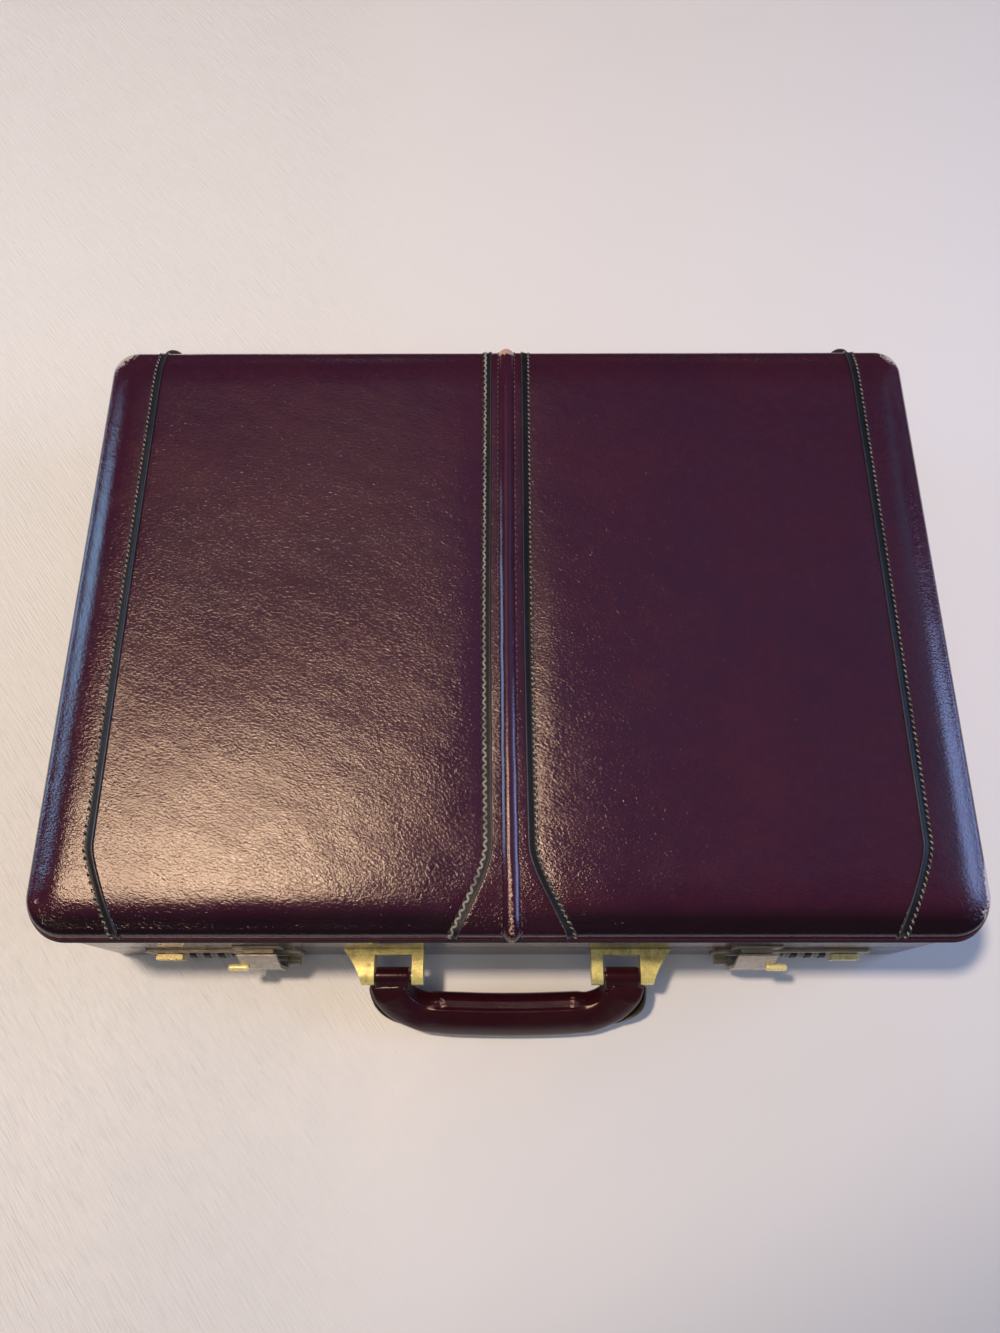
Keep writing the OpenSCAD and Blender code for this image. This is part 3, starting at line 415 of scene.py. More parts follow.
# Lines of the grid by their inset and height, from the rim up the wall, round the edge and in
wall_z = np.linspace(rim_z, arc_z, 9)[:-1]
arc_a = np.linspace(0, arc_span, 9)
crown_in = arc_inset + np.array([1.2, 2.6, 4.2, 6.2, 8.6, 11.4, 14.2, 17.2])
line_inset = np.concatenate([0 * wall_z, edge_r * (1 - np.cos(arc_a)), crown_in, [corner_size]])[::-1]
line_z = np.concatenate([wall_z, arc_z + edge_r * np.sin(arc_a), 0 * crown_in, [0]])[::-1]
rings = len(line_inset) - 1
crown_rings = len(crown_in)


def grid_lines(half, dense=()):
    """Places along one axis inside the corner squares, about 2.6 mm apart, and 1.1 mm apart
    within 8 mm of each place in dense."""
    coarse, fine, reach = 2.6, 1.1, 8
    inner = half - corner_size
    edges = [-inner, inner] + [place + way for place in dense for way in (-reach, reach)]
    edges = np.unique(np.clip(edges, -inner, inner))
    stretches = []
    for low, high in zip(edges[:-1], edges[1:]):
        near = any(abs(place - (low + high) / 2) < reach + 0.1 for place in dense)
        gap = fine if near else coarse
        stretches.append(np.linspace(low, high, max(2, int(round((high - low) / gap)) + 1))[:-1])
    return np.concatenate(stretches + [[edges[-1]]])


def lid_grid():
    """Points of the lid's skin on one square grid. Inside, a point is (x, y, crown). A line
    beyond the corner squares is a ring with its own inset and height, and in a corner square the
    point goes round that ring's straight, arc and straight by its share of the way."""
    middle_seam_x = 10.0
    seams = (-side_strip_x, -middle_seam_x, middle_seam_x, side_strip_x)
    inner = grid_lines(half_w, seams), grid_lines(half_d)
    steps = np.arange(1, rings + 1)
    counts = [np.concatenate([steps[::-1], np.zeros(len(line), int), steps]) for line in inner]
    x, y = np.meshgrid(*(np.pad(line, rings, mode="edge") for line in inner), indexing="ij")
    ring_x, ring_y = np.meshgrid(*counts, indexing="ij")
    ring = np.maximum(ring_x, ring_y)
    inset, z = line_inset[ring], line_z[ring]
    side_x, side_y = np.sign(x), np.sign(y)
    part = np.minimum(ring_x, ring_y) / np.maximum(2 * ring, 1)
    share = np.where(ring_x >= ring_y, part, 1 - part)
    r = np.clip(np.where(side_y < 0, front_r, back_r) - inset, 0, None)
    straight = corner_size - inset - r
    way = share * (2 * straight + r * math.pi / 2)
    turn = np.clip((way - straight) / np.maximum(r, 1e-9), 0, math.pi / 2)
    after = np.clip(way - straight - r * math.pi / 2, 0, None)
    round_x = straight + r * np.cos(turn) - after
    round_y = np.minimum(way, straight) + r * np.sin(turn)
    corner = (ring_x > 0) & (ring_y > 0)
    band_x = np.where(ring_x > 0, side_x * (half_w - inset), x)
    band_y = np.where(ring_y > 0, side_y * (half_d - inset), y)
    grid_x = np.where(corner, side_x * (half_w - corner_size + round_x), band_x)
    grid_y = np.where(corner, side_y * (half_d - corner_size + round_y), band_y)
    return np.stack([grid_x, grid_y, np.where(ring <= crown_rings, crown(grid_x, grid_y), z)], axis=-1)


def grid_faces(rows, columns, close_rows=False, close_columns=False):
    """Four-sided faces between neighbouring points of a grid, joined end to end where closed."""
    i, j = (line.ravel() for line in np.indices((rows - (not close_rows), columns - (not close_columns))))
    i_next, j_next = (i + 1) % rows, (j + 1) % columns
    corners = (i, j), (i_next, j), (i_next, j_next), (i, j_next)
    return np.stack([row * columns + column for row, column in corners], axis=1).tolist()


def set_wear(piece, wear, name="wear"):
    """Stores how worn each point is, or how much painted shade it takes, from 0 to 1, for the leather's
    material.
    """
    layer = piece.data.attributes.new(name, "FLOAT", "POINT")
    layer.data.foreach_set("value", np.asarray(wear, np.float32).ravel())


# Worn places on the lid as (x, y, z, reach along x, y and z, how worn)
worn_places = [
    (-226, 163, 95, 12, 12, 3, 0.9), (226, 163, 95, 10, 10, 3.4, 0.85), (-5, 165, 96, 12, 3, 4, 0.6),
    (228, -146, 97, 2.6, 14, 3, 0.95), (224, -157, 97, 4, 6, 3, 0.6), (-221, -150, 97, 3, 3, 3, 0.55),
    (-190, 164.5, 96, 24, 1.6, 3, 0.64), (-110, 164.5, 96, 60, 1.6, 3, 0.6),
    (110, 164.5, 96, 70, 1.6, 3, 0.56), (228, 60, 96, 1.8, 60, 3, 0.48), (-228, 60, 96, 1.8, 60, 3, 0.3),
    (218, 120, 98, 4, 26, 2, 0.3), (32, -153, 98, 3, 2.2, 2, 0.5), (35, -157, 98, 1.6, 1.8, 2, 0.72),
    (52, -160, 97, 10, 3, 2, 0.42), (-76, -158, 97, 5, 3, 2, 0.34),
]


def wear_of(points):
    """How worn the lid is at each point: the most that any worn place gives, each fading as
    a bell with its distance, measured in that place's own reaches."""
    wear = np.zeros(points.shape[:-1])
    for *place, reach_x, reach_y, reach_z, much in worn_places:
        off = (points - np.array(place)) / np.array([reach_x, reach_y, reach_z])
        wear = np.maximum(wear, much * np.exp(-0.5 * (off**2).sum(-1)))
    return wear


def darkened(points):
    """Painted shade where the lid rolls over in front and little light falls: all of it there, from
    a rise between 15 and 6 mm behind the edge and another between the heights of 92 and 95 mm."""
    front_roll = smooth_step(-points[..., 1], half_d - 15, half_d - 6)
    return front_roll * smooth_step(points[..., 2], 92, 95)


def thicken(piece, thickness, offset):
    """Gives a sheet its thickness: all of it inwards at an offset of -1, and half of it at 0."""
    wall = piece.modifiers.new("leather_thickness", "SOLIDIFY")
    wall.thickness = thickness * mm
    wall.offset = offset


lid_points = lid_grid()
lid_leather = make_mesh("lid_leather", lid_points, grid_faces(*lid_points.shape[:2]), burgundy)
set_wear(lid_leather, wear_of(lid_points))
# Painted shade darkens the leather where the lid rolls over in front
set_wear(lid_leather, darkened(lid_points), "shade")
thicken(lid_leather, leather_t, -1)
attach(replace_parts(lid_leather, "lid_cover", "lid_padding"), "lid")


# The welt
# A piping of the same hide is glued round the lid just under its rounded edge: a thin ridge, a
# thicker fold below it and, lowest of all, a band of black calf that paints the shade under the
# fold. Dark grooves run between them.
def loft(name, rings, material, closed=False):
    """Tube through equal rings of points, with flat ends, or joined end to end if closed."""
    count, around = rings.shape[:2]
    faces = grid_faces(count, around, close_rows=closed, close_columns=True)
    if not closed:
        faces += [list(range(around)), list(range((count - 1) * around, count * around))]
    tube = make_mesh(name, rings, faces, material)
    turn_outwards(tube)
    return tube


def turn_outwards(piece):
    """Makes the faces of closed shapes point outwards."""
    shape = bmesh.new()
    shape.from_mesh(piece.data)
    bmesh.ops.recalc_face_normals(shape, faces=shape.faces)
    shape.to_mesh(piece.data)
    shape.free()


def outline(step):
    """Points round the lid and their outward directions: straights about step long, and an
    arc of 17 points at each corner, centre plus radius times (cosine, sine)."""
    points, outward = [], []
    for side_x, side_y, start in ((1, -1, -90), (1, 1, 0), (-1, 1, 90), (-1, -1, 180)):
        r = front_r if side_y < 0 else back_r
        a = np.radians(start + np.linspace(0, 90, 17))
        arc = np.stack([np.cos(a), np.sin(a)], axis=1)
        points.append(arc * r + [side_x * (half_w - r), side_y * (half_d - r)])
        outward.append(arc)
    path, way = [], []
    for i in range(4):
        begin, end = points[i][-1], points[(i + 1) % 4][0]
        count = int(np.linalg.norm(end - begin) / step)
        share = np.linspace(0, 1, count + 1)[1:-1, None]
        path += [points[i], begin + share * (end - begin)]
        way += [outward[i], np.repeat(outward[i][-1:], len(share), axis=0)]
    return np.concatenate(path), np.concatenate(way)


welt_low, welt_high = box_of("lid_welt")
welt_mid = (welt_low[2] + welt_high[2]) / 2
# Sections of the three as (out of the wall, above the welt's middle)
ridge_section = np.array([
    (-0.4, 0.9), (0.3, 0.88), (0.8, 0.7), (1.1, 0.3), (1.1, -0.1), (0.8, -0.5), (0.2, -0.7), (-0.4, -0.7),
])
fold_section = np.array([
    (-0.4, -0.5), (0.9, -0.62), (1.5, -0.75), (1.7, -1.1),
    (1.6, -1.5), (1.2, -1.8), (0.5, -1.9), (-0.4, -1.9),
])
# The lowest band, of black calf, is painted shade under the fold
shade_band_section = np.array([
    (-0.4, -1.7), (1.5, -1.8), (2.1, -1.95), (2.25, -2.3),
    (2.1, -2.65), (1.4, -2.85), (0.5, -2.9), (-0.4, -2.9),
])
welt_path, welt_out = outline(7.0)
welt_wave = 0.14 * np.sin(welt_path[:, 0] / 13 + 1) * np.sin(welt_path[:, 0] / 41 + welt_path[:, 1] / 29)
stands = 0.42 + 0.58 * np.clip(-welt_out[:, 1], 0, 1)[:, None, None] ** 2


def welt_piece(name, section, material):
    """Carries a section round the lid. It stands out in full at the front and by 0.42 of its
    depth elsewhere: 0.42 plus 0.58 times the square of how far the wall faces forwards. It is
    1.15 times as worn as the lid beside it."""
    rings = np.concatenate([
        welt_path[:, None, :] + welt_out[:, None, :] * section[None, :, :1] * stands,
        (welt_mid + welt_wave)[:, None, None] + np.repeat(section[None, :, 1:], len(welt_path), axis=0),
    ], axis=-1)
    piece = loft(name, rings, material, closed=True)
    set_wear(piece, wear_of(rings) * 1.15)
    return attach(piece, "lid")


edge_hide = hide("welt_hide", (0.03, 0.0042, 0.018), (0.04, 0.0052, 0.017), 0.26, grain=0.6, gloss=0.45)
calf = hide(
    "black_calf", (0.006, 0.006, 0.009), (0.012, 0.011, 0.014), 0.44, (0.4, 0.36, 0.33), grain=0.5, gloss=0.3
)
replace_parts(welt_piece("welt", ridge_section, edge_hide), "lid_welt")
welt_piece("welt_fold", fold_section, edge_hide)
# The lowest band is painted shade under the fold
welt_piece("welt_painted_shade_band", shade_band_section, calf)


# The centre panel and the leather strips
# Black strips of thin calf cover the seams of the padded panels. Burgundy hide fills the space
# between the middle two. All of them are glued down and wrap over the front and back edges.
def path_over_lid():
    """Line over the lid from the front wall to the back wall, as columns y, z and the lean
    of its normal off upright, forwards: a wall from the top of the welt, an arc, the top, where
    z is -1 because crown gives the height, an arc and a wall."""
    top_half, step, under_welt = half_d - arc_inset, 3.0, 0.6
    a = np.linspace(math.pi / 2, math.pi / 2 - arc_span, 9)
    wall = np.linspace(welt_high[2] - under_welt, arc_z, 3)[:-1]
    top = np.linspace(-1, 1, int(2 * top_half / step))[1:-1] * top_half
    y = np.concatenate([0 * wall - half_d, edge_r * (1 - np.sin(a)) - half_d])
    z = np.concatenate([wall, arc_z + edge_r * np.cos(a)])
    lean = np.concatenate([0 * wall + math.pi / 2, a])
    columns = (y, top, -y[::-1]), (z, 0 * top - 1, z[::-1]), (lean, 0 * top, -lean[::-1])
    return [np.concatenate(column)[:, None] for column in columns]


def on_lid(x, path, height):
    """Points at x along a path over the lid, height above the leather along its normal. On
    top, the height of the leather is crown and its normal comes from crown's slopes."""
    y, z, lean = path
    x, y, z, lean, height = np.broadcast_arrays(x, y, z, lean, height)
    gap = 0.4
    slope_x = (crown(x + gap, y) - crown(x - gap, y)) / (2 * gap)
    slope_y = (crown(x, y + gap) - crown(x, y - gap)) / (2 * gap)
    length = np.sqrt(slope_x**2 + slope_y**2 + 1)
    top = z < 0
    normal = np.stack([
        np.where(top, -slope_x / length, 0),
        np.where(top, -slope_y / length, -np.sin(lean)),
        np.where(top, 1 / length, np.cos(lean)),
    ], axis=-1)
    ground = np.stack([x, y, np.where(top, crown(x, y), z)], axis=-1)
    return ground + normal * height[..., None], normal


def flat_band(name, left, right, thick, material, columns, fall=0.0):
    """Band between two edges, thick in the middle with rounded edges, and a flat bottom sunk
    0.5 mm in the leather. The section's height is thick times (1 - (2c - 1)^8)^0.4 at the share
    c of its width, and it loses the share fall of its height on the way to the second edge."""
    sunk, edge_sunk = 0.5, 0.02
    share = np.concatenate([[0, 0.02, 0.06], np.linspace(0.15, 0.85, columns), [0.94, 0.98, 1]])
    height = thick * (1 - np.abs(2 * share - 1) ** 8) ** 0.4 * (1 - fall * smooth_step(share, 0.2, 0.8))
    share = np.concatenate([share, share[::-1]])
    height = np.concatenate([height - edge_sunk, np.full(len(height), -sunk)])
    x = left + share[None, :] * (right - left)
    points, _ = on_lid(x, lid_path, height[None, :])
    return loft(name, points, material), points


def bell(value, middle, reach):
    """1 at the middle, falling off as e to the power of minus the square of (the distance from
    it over the reach)."""
    return np.exp(-(((value - middle) / reach) ** 2))


lid_path = path_over_lid()
lid_y = lid_path[0]
sides = (-1, "left"), (1, "right")
panel_t, strip_t, fold_t, tucked = 0.25, 0.85, 1.0, 0.8
panel_edges = [centre_edge(lid_y, side, tucked) for side in (-1, 1)]
panel, panel_points = flat_band("centre_panel_leather", *panel_edges, panel_t, burgundy, columns=14)
set_wear(panel, wear_of(panel_points))
# The same painted shade, at 0.6 of its strength, where the panel rolls over in front
set_wear(panel, 0.6 * darkened(panel_points), "shade")
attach(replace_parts(panel, "centre_panel"), "lid")

# Paler, lilac-grey calf for the folds of the strips, a painted highlight along them
glossy_fold_highlight_calf = hide("glossy_fold_highlight_calf", (0.03, 0.028, 0.036), (0.045, 0.042, 0.05), 0.3, grain=0.3, gloss=0.5)
for side, word in sides:
    for kind, edge_at in (("side", side_edge), ("centre", centre_edge)):
        edges = [edge_at(lid_y, side, out) for out in (0, strip_w)]
        strip, points = flat_band(f"{kind}_strip_{word}", *edges, strip_t, calf, columns=9, fall=0.85)
        # It is worn at both ends, and along its cut edges near the front
        ends = 0.62 * bell(points[..., 1], half_d, 4) + 0.2 * bell(points[..., 1], -half_d, 6)
        into = np.abs(points[..., 0] - edge_at(points[..., 1], side, 0))
        at_edge = np.minimum(into, np.abs(strip_w - into)) < 0.3
        cut_edges = 0.5 * at_edge * smooth_step(-points[..., 1], 138, 156)
        set_wear(strip, np.maximum(np.maximum(ends, cut_edges), wear_of(points)))
        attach(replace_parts(strip, f"strip_{kind}_{word}"), "lid")
        # The calf is folded under along its inner edge. The fold is glossy, and its paler,
        #         lilac-grey colour is a painted highlight
        edges = [edge_at(lid_y, side, out) for out in (0.25, 0.95)]
        fold, _ = flat_band(f"{kind}_strip_fold_{word}", *edges, fold_t, glossy_fold_highlight_calf, columns=4)
        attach(fold, "lid")


# The bead
# A cord under burgundy hide down the middle of the centre panel: a ridge whose sides run out
# flat, as the square of a sine. Its left shoulder, and near the front its whole top, is rubbed to
# pinkish fibres, and its back end is frayed.
bead_w, bead_h, bead_lift, bead_sunk = 4.176, 2.4, 0.2, 0.5
bead_a = np.linspace(0, math.pi, 15)
bead_x = drift(lid_y) + 0.12 * np.sin(lid_y / 17) * np.sin(lid_y / 5.3)
bead_rise = np.concatenate([bead_h * np.sin(bead_a) ** 2, [-bead_sunk, -bead_sunk]])[None, :]
bead_off = bead_w * np.concatenate([np.cos(bead_a), [-1, 1]])[None, :]
bead_points, _ = on_lid(bead_x + bead_off, lid_path, bead_lift + bead_rise)
bead_hide = hide(
    "bead_hide", (0.035, 0.0054, 0.021), (0.048, 0.0066, 0.02), 0.17, (0.56, 0.34, 0.26), grain=0.3
)
bead = loft("bead", bead_points, bead_hide)
along = bead_points[..., 1]
near_front = smooth_step(-along, 108, 160)
ridge = np.exp(-(((bead_off + 1.3 - near_front) / (0.42 + 1.7 * near_front)) ** 4)) * (bead_rise > 0.8)
rubbed = 0.6 - 0.08 * near_front + 0.2 * smooth_step(along, 90, 150)
frayed = 0.95 * smooth_step(along, half_d - 8, half_d - 2)
set_wear(bead, np.maximum(ridge * rubbed, frayed))
# The same painted shade, at 0.6 of its strength, where the bead rolls over in front
set_wear(bead, 0.6 * darkened(bead_points), "shade")
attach(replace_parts(bead, "centre_bead"), "lid")


# The stitching
# Waxed linen thread, sewn zigzag over the outer edge of each side strip and over the panel edge
# of each centre strip. Two fine rows of burgundy thread hold the bead on both sides.
def stitches(name, points, normals, skip, radius, rise, material):
    """One short arched thread for each pair of neighbouring points, or every other pair where
    skip is 2: six-sided rings at five shares of the way, lifted along the normal by rise times a
    bow and thin at the ends."""
    begin, end = points[:-1:skip], points[1::skip]
    normal = (normals[:-1:skip] + normals[1::skip]) / 2
    share = np.array([0.0, 0.16, 0.5, 0.84, 1.0])
    lift = np.array([-0.35, 0.45, 1.0, 0.45, -0.35]) * rise
    girth = np.array([0.5, 0.95, 1.1, 0.95, 0.5]) * radius
    run = end - begin
    across = np.cross(run, normal)
    across /= np.linalg.norm(across, axis=1, keepdims=True)
    a = np.radians(np.arange(0, 360, 60))
    middle = begin[:, None] + share[None, :, None] * run[:, None] + lift[None, :, None] * normal[:, None]
    around = across[:, None, None] * np.cos(a)[None, None, :, None]
    around = around + normal[:, None, None] * np.sin(a)[None, None, :, None]
    rings = middle[:, :, None] + girth[None, :, None, None] * around
    ring, whole = len(a), len(a) * len(share)
    first = whole * np.arange(len(begin))[:, None, None]
    walls = np.array(grid_faces(len(share), ring, close_columns=True))
    caps = np.stack([np.arange(ring)[::-1], np.arange(whole - ring, whole)])
    faces = (walls + first).reshape(-1, 4).tolist() + (caps + first).reshape(-1, ring).tolist()
    thread = make_mesh(name, rings, faces, material)
    turn_outwards(thread)
    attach(thread, "lid")


def sewn_row(name, x, pitch, swing, skip, radius, rise, material):
    """Row of stitches along the line x over the lid, 0.25 mm above the leather. It swings by
    swing to one side and the other in turn, and more than half as far again near the front."""
    points, normals = (grid[:, 0] for grid in on_lid(x, lid_path, 0))
    way = np.concatenate([[0], np.cumsum(np.linalg.norm(np.diff(points, axis=0), axis=1))])
    stops = np.arange(0.5, way[-1], pitch)
    spots, upwards = (
        np.stack([np.interp(stops, way, line[:, i]) for i in range(3)], axis=1) for line in (points, normals)
    )
    sideways = np.cross(np.gradient(spots, axis=0), upwards)
    sideways /= np.linalg.norm(sideways, axis=1, keepdims=True)
    swing = swing + 0.6 * swing * smooth_step(-spots[:, 1], 10, 90)
    turn = np.where(np.arange(len(stops)) % 2 == 0, swing, -swing)
    spots = spots + sideways * turn[:, None] + upwards * 0.25
    stitches(name, spots, upwards, skip, radius, rise, material)


def thread_finish(name, colour, aged):
    """Twisted thread: fine slanting plies and soiled patches."""
    finish = Finish(name, colour, 0.75, Sheen_Weight=0.3, Sheen_Roughness=0.5)
    finish.set("Base Color", finish.mix(finish.ramp(finish.noise(9, 3), 0.35, 0.65), colour, aged))
    finish.relief((finish.noise(0.35, 2, finish.at(turn=(30, 40, 30), scale=(1, 3, 1))), 0.12))
    return finish.material


linen = thread_finish("linen_thread", (0.34, 0.32, 0.26), (0.18, 0.16, 0.13))
black_thread = thread_finish("black_thread", (0.006, 0.006, 0.007), (0.012, 0.011, 0.011))
dark_thread = thread_finish("burgundy_thread", (0.05, 0.017, 0.03), (0.14, 0.07, 0.08))
# Kinds of rows as pitch, swing, skip, radius and rise
zigzag, braid = (1.5, 0.42, 2, 0.36, 0.3), (2.1, 0.62, 1, 0.56, 0.5)
needle_holes, fine_row = (2.0, 0, 2, 0.42, 0.1), (1.7, 0, 2, 0.3, 0.35)
bead_seam, hole_out = 4.7, strip_w + 0.55
for side, word in sides:
    sewn_row(f"side_stitches_{word}", side_edge(lid_y, side, strip_w - 0.1), *zigzag, linen)
    # The thread beside the left strip is a thick braid, and the right one has sunk into the leather
    row, edge_in = (braid, 0.7) if side < 0 else (zigzag, 0.1)
    sewn_row(f"centre_stitches_{word}", centre_edge(lid_y, side, strip_w - edge_in), *row, linen)
    sewn_row(f"side_needle_holes_{word}", side_edge(lid_y, side, hole_out), *needle_holes, black_thread)
    sewn_row(f"centre_needle_holes_{word}", centre_edge(lid_y, side, hole_out), *needle_holes, black_thread)
    sewn_row(f"bead_stitches_{word}", drift(lid_y) + side * bead_seam, *fine_row, dark_thread)


# The handle brackets
# Two cast brass brackets, each a crossbar on the wall with two arms, held by screws from inside.
# The casting is rough and pitted, and tarnish lies on it in clouds.
def old_brass(name, colour, tarnish, roughness, pits):
    """Worn brass plate under lacquer: cloudy tarnish, dark pits where pits is high, and a finely
    scratched lustre."""
    finish = Finish(name, colour, roughness, Metallic=0.3, Coat_Weight=0.3, Coat_Roughness=0.2)
    clouds = finish.ramp(finish.noise(7, 5, rough=0.65), 0.42, 0.72)
    pitted = finish.ramp(finish.noise(0.9, 3, rough=0.7), 0.6, 0.5 + 0.2 / max(pits, 0.01))
    finish.set("Base Color", finish.mix(pitted, finish.mix(clouds, colour, tarnish), tarnish))
    gloss = finish.ramp(finish.noise(2.5, 5), 0.3, 0.7, roughness - 0.08, roughness + 0.12)
    finish.set("Roughness", finish.math("ADD", gloss, finish.math("MULTIPLY", pitted, 0.15)))
    brushed = finish.noise(0.25, 2, finish.at(scale=(0.06, 1, 1)))
    finish.relief((pitted, -0.06 * pits), (brushed, 0.012), (finish.noise(1.6, 2), 0.08 * pits))
    return finish.material


def plated_steel(name, colour, roughness):
    """Nickelled steel with faint turning marks and dull clouds."""
    finish = Finish(name, colour, roughness, Metallic=1.0)
    dull = finish.ramp(finish.noise(5, 4), 0.4, 0.7)
    finish.set("Base Color", finish.mix(dull, colour, tuple(0.72 * c for c in colour)))
    finish.set("Roughness", finish.ramp(finish.noise(3, 4), 0.3, 0.7, roughness - 0.06, roughness + 0.1))
    finish.relief((finish.noise(0.2, 2, finish.at(scale=(0.05, 1, 1))), 0.015))
    return finish.material


cast_brass = old_brass("cast_brass", (0.86, 0.76, 0.28), (0.46, 0.39, 0.14), 0.34, 1.0)
nickel = plated_steel("nickelled_steel", (0.58, 0.57, 0.55), 0.3)
for side in ("left", "right"):
    dressed(f"bracket_{side}", cast_brass, edge=0.45)
dressed("bracket_screws", nickel, edge=0.2)
dressed("handle_pins", nickel, edge=0.3)


# The handle
# A steel core in a wrapped leather sleeve. The sleeve is round at the grip and flat with crisp
# edges at the shoulders; its seam runs along the side towards the case and has rubbed pink.
pin_low, pin_high = box_of("handle_pins")
_, pin_y, pin_z = (pin_low + pin_high) / 2
droop = math.radians(45.5)
grip_reach, grip_bow = 24.6, 1.4
grip_half_w, grip_half_t, slimmer = 11.7, 9.0, 1.9
shoulder_r, shoulder_turn, shoulder_out = 25.2, math.radians(80), 3.2
loop_w, loop_r, loop_half_t = 18.0, 4.5, 4.0
loop_x = box_of("handle_loops")[1][0] - loop_w / 2
straight_x = loop_x + shoulder_out - shoulder_r


def let_down(x, out, above):
    """Points given in the handle's own plane, out from its pins and above that plane, turned
    down about the pins by the droop, at which the grip rests on the table."""
    return np.stack(np.broadcast_arrays(
        x,
        pin_y - out * math.cos(droop) - above * math.sin(droop),
        pin_z - out * math.sin(droop) + above * math.cos(droop),
    ), axis=-1)


def handle_line():
    """Middle line of the handle from the left loop to the right one: a short run out of the
    loop, the shoulder's arc, the bowed grip, and the same again. Gives x, the way out, the
    heading of the outer side in radians, the side, and the share of the half length."""
    arc, run_in, end_out = shoulder_r * shoulder_turn, 4.2, 2.4
    half = straight_x + arc + run_in
    way = np.linspace(-half, half, 150)
    s = np.abs(way)
    a = math.pi / 2 - np.clip((s - straight_x) / shoulder_r, 0, shoulder_turn)
    past = np.clip((s - straight_x - arc) / run_in, 0, 1)
    bowed = grip_reach + grip_bow * (1 - np.clip(s / straight_x, 0, 1) ** 2)
    x = np.where(s < straight_x, s, straight_x + shoulder_r * np.cos(a))
    out = np.where(s < straight_x, bowed, grip_reach - shoulder_r * (1 - np.sin(a)))
    x, out = x + (loop_x - x) * past, out + (end_out - out) * past
    return np.sign(way) * x, out, a * (1 - past), np.sign(way), s / half


def squarer(wave, power):
    """A cosine or sine raised to a power with its sign kept: the lower, the squarer a section."""
    return np.sign(wave) * np.abs(wave) ** power


line_x, line_out, line_a, line_side, line_share = (v[:, None] for v in handle_line())
# Round the section, 0 degrees is the outer side, 90 the top and 180 the side towards the case
around = np.radians(np.linspace(0, 360, 73)[:-1])[None, :]
degrees = np.degrees(around) + 0 * line_x
from_middle = np.abs(line_x)
on_shoulder = smooth_step(line_share, 0.42, 0.72)
at_loop = smooth_step(line_share, 0.86, 1.0)
grip_only = 1 - smooth_step(from_middle, 33, 44)
lip_out, lip_in = 131, 163
# The section is an ellipse squared up by a power, with the seam's channel between two lips on the
# grip, and pressed grooves on the shoulders
half_across = grip_half_w - slimmer * on_shoulder - 0.7 * bell(from_middle, 46, 9)
half_across = half_across + at_loop * (loop_w / 2 - grip_half_w + slimmer)
half_thick = grip_half_t - slimmer * on_shoulder - at_loop * (grip_half_t - slimmer - loop_half_t)
power = 0.92 - 0.42 * on_shoulder - 0.14 * (np.cos(around) > 0) * (1 - on_shoulder)
channel = smooth_step(degrees, lip_out + 2, lip_out + 7) - smooth_step(degrees, lip_in - 6, lip_in - 2)
channel = channel * grip_only
lips = (1.7 * bell(degrees, lip_out, 4) + 0.5 * bell(degrees, lip_in, 2)) * grip_only
side_grooves = (bell(degrees, 24, 2.5) + bell(degrees, 336, 2.5)) * on_shoulder
inner_grooves = bell(degrees, 158, 3) * on_shoulder * (1 - at_loop)
wrinkle = np.sin(line_x / 2.3 + 2 * np.sin(degrees / 40)) * bell(from_middle, 44, 9)
swell = 0.35 * lips - 0.55 * channel - 0.45 * side_grooves - 0.4 * inner_grooves + 0.12 * wrinkle
flat = (half_across + swell) * squarer(np.cos(around), power)
tall = (half_thick + swell) * squarer(np.sin(around), power)
grip_points = let_down(
    line_x + flat * np.cos(line_a) * line_side, line_out + flat * np.sin(line_a), tall
)
polished = hide(
    "handle_hide", (0.022, 0.003, 0.008), (0.03, 0.0045, 0.007), 0.2, (0.5, 0.3, 0.26), grain=0.35, gloss=0.6
)
grip = loft("handle_sleeve", grip_points, polished)
# The lips and the channel are rubbed, the seam is torn at both ends of the grip, and the outer
# edges of the shoulders are scuffed
rubbed = 0.42 * bell(degrees, lip_out, 3) + 0.48 * bell(degrees, lip_in - 1, 2.2)
rubbed = rubbed * grip_only + 0.16 * channel
torn = smooth_step(degrees, lip_out - 3, lip_out + 9) - smooth_step(degrees, lip_in + 9, lip_in + 22)
torn = 0.52 * torn * bell(from_middle, 34, 4)
scuffed = 0.3 * bell(degrees, 22, 4) * on_shoulder
set_wear(grip, np.maximum(np.maximum(rubbed, torn), scuffed))
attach(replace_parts(grip, "handle_grip"), "handle")


# The loops of the handle
# At each end the leather runs on as a strap, wraps over its pin and comes back under itself. Its
# section is nearly a rectangle, it creases a little at the bend, and its edges are rubbed.
strap_t = 2.3
strap_mid = loop_r - strap_t / 2
bend_a = np.linspace(0, math.pi, 19)
strap_run = np.linspace(6.8, 0.6, 4)
strap_turn = np.concatenate([0 * strap_run, bend_a, 0 * strap_run + math.pi])[:, None]
strap_out = np.concatenate([strap_run, 0 * bend_a, strap_run[::-1]])[:, None]
section_a = np.radians(np.linspace(0, 360, 41)[:-1])[None, :]
section_w = squarer(np.cos(section_a), 0.16) * loop_w / 2
crease = 1 + 0.05 * np.sin(section_w * 1.9) * np.sin(strap_turn)
from_pin = strap_mid + squarer(np.sin(section_a), 0.5) * strap_t / 2 * crease
edge_wear = 0.34 * (np.abs(section_w) > loop_w / 2 - 0.6) + 0.22 * np.sin(strap_turn) ** 6
for side, word in sides:
    strap_points = let_down(
        side * (loop_x + section_w), strap_out - from_pin * np.sin(strap_turn), from_pin * np.cos(strap_turn)
    )
    strap = loft(f"handle_loop_{word}", strap_points, polished)
    set_wear(strap, edge_wear)
    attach(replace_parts(strap, "handle_loops"), "handle")


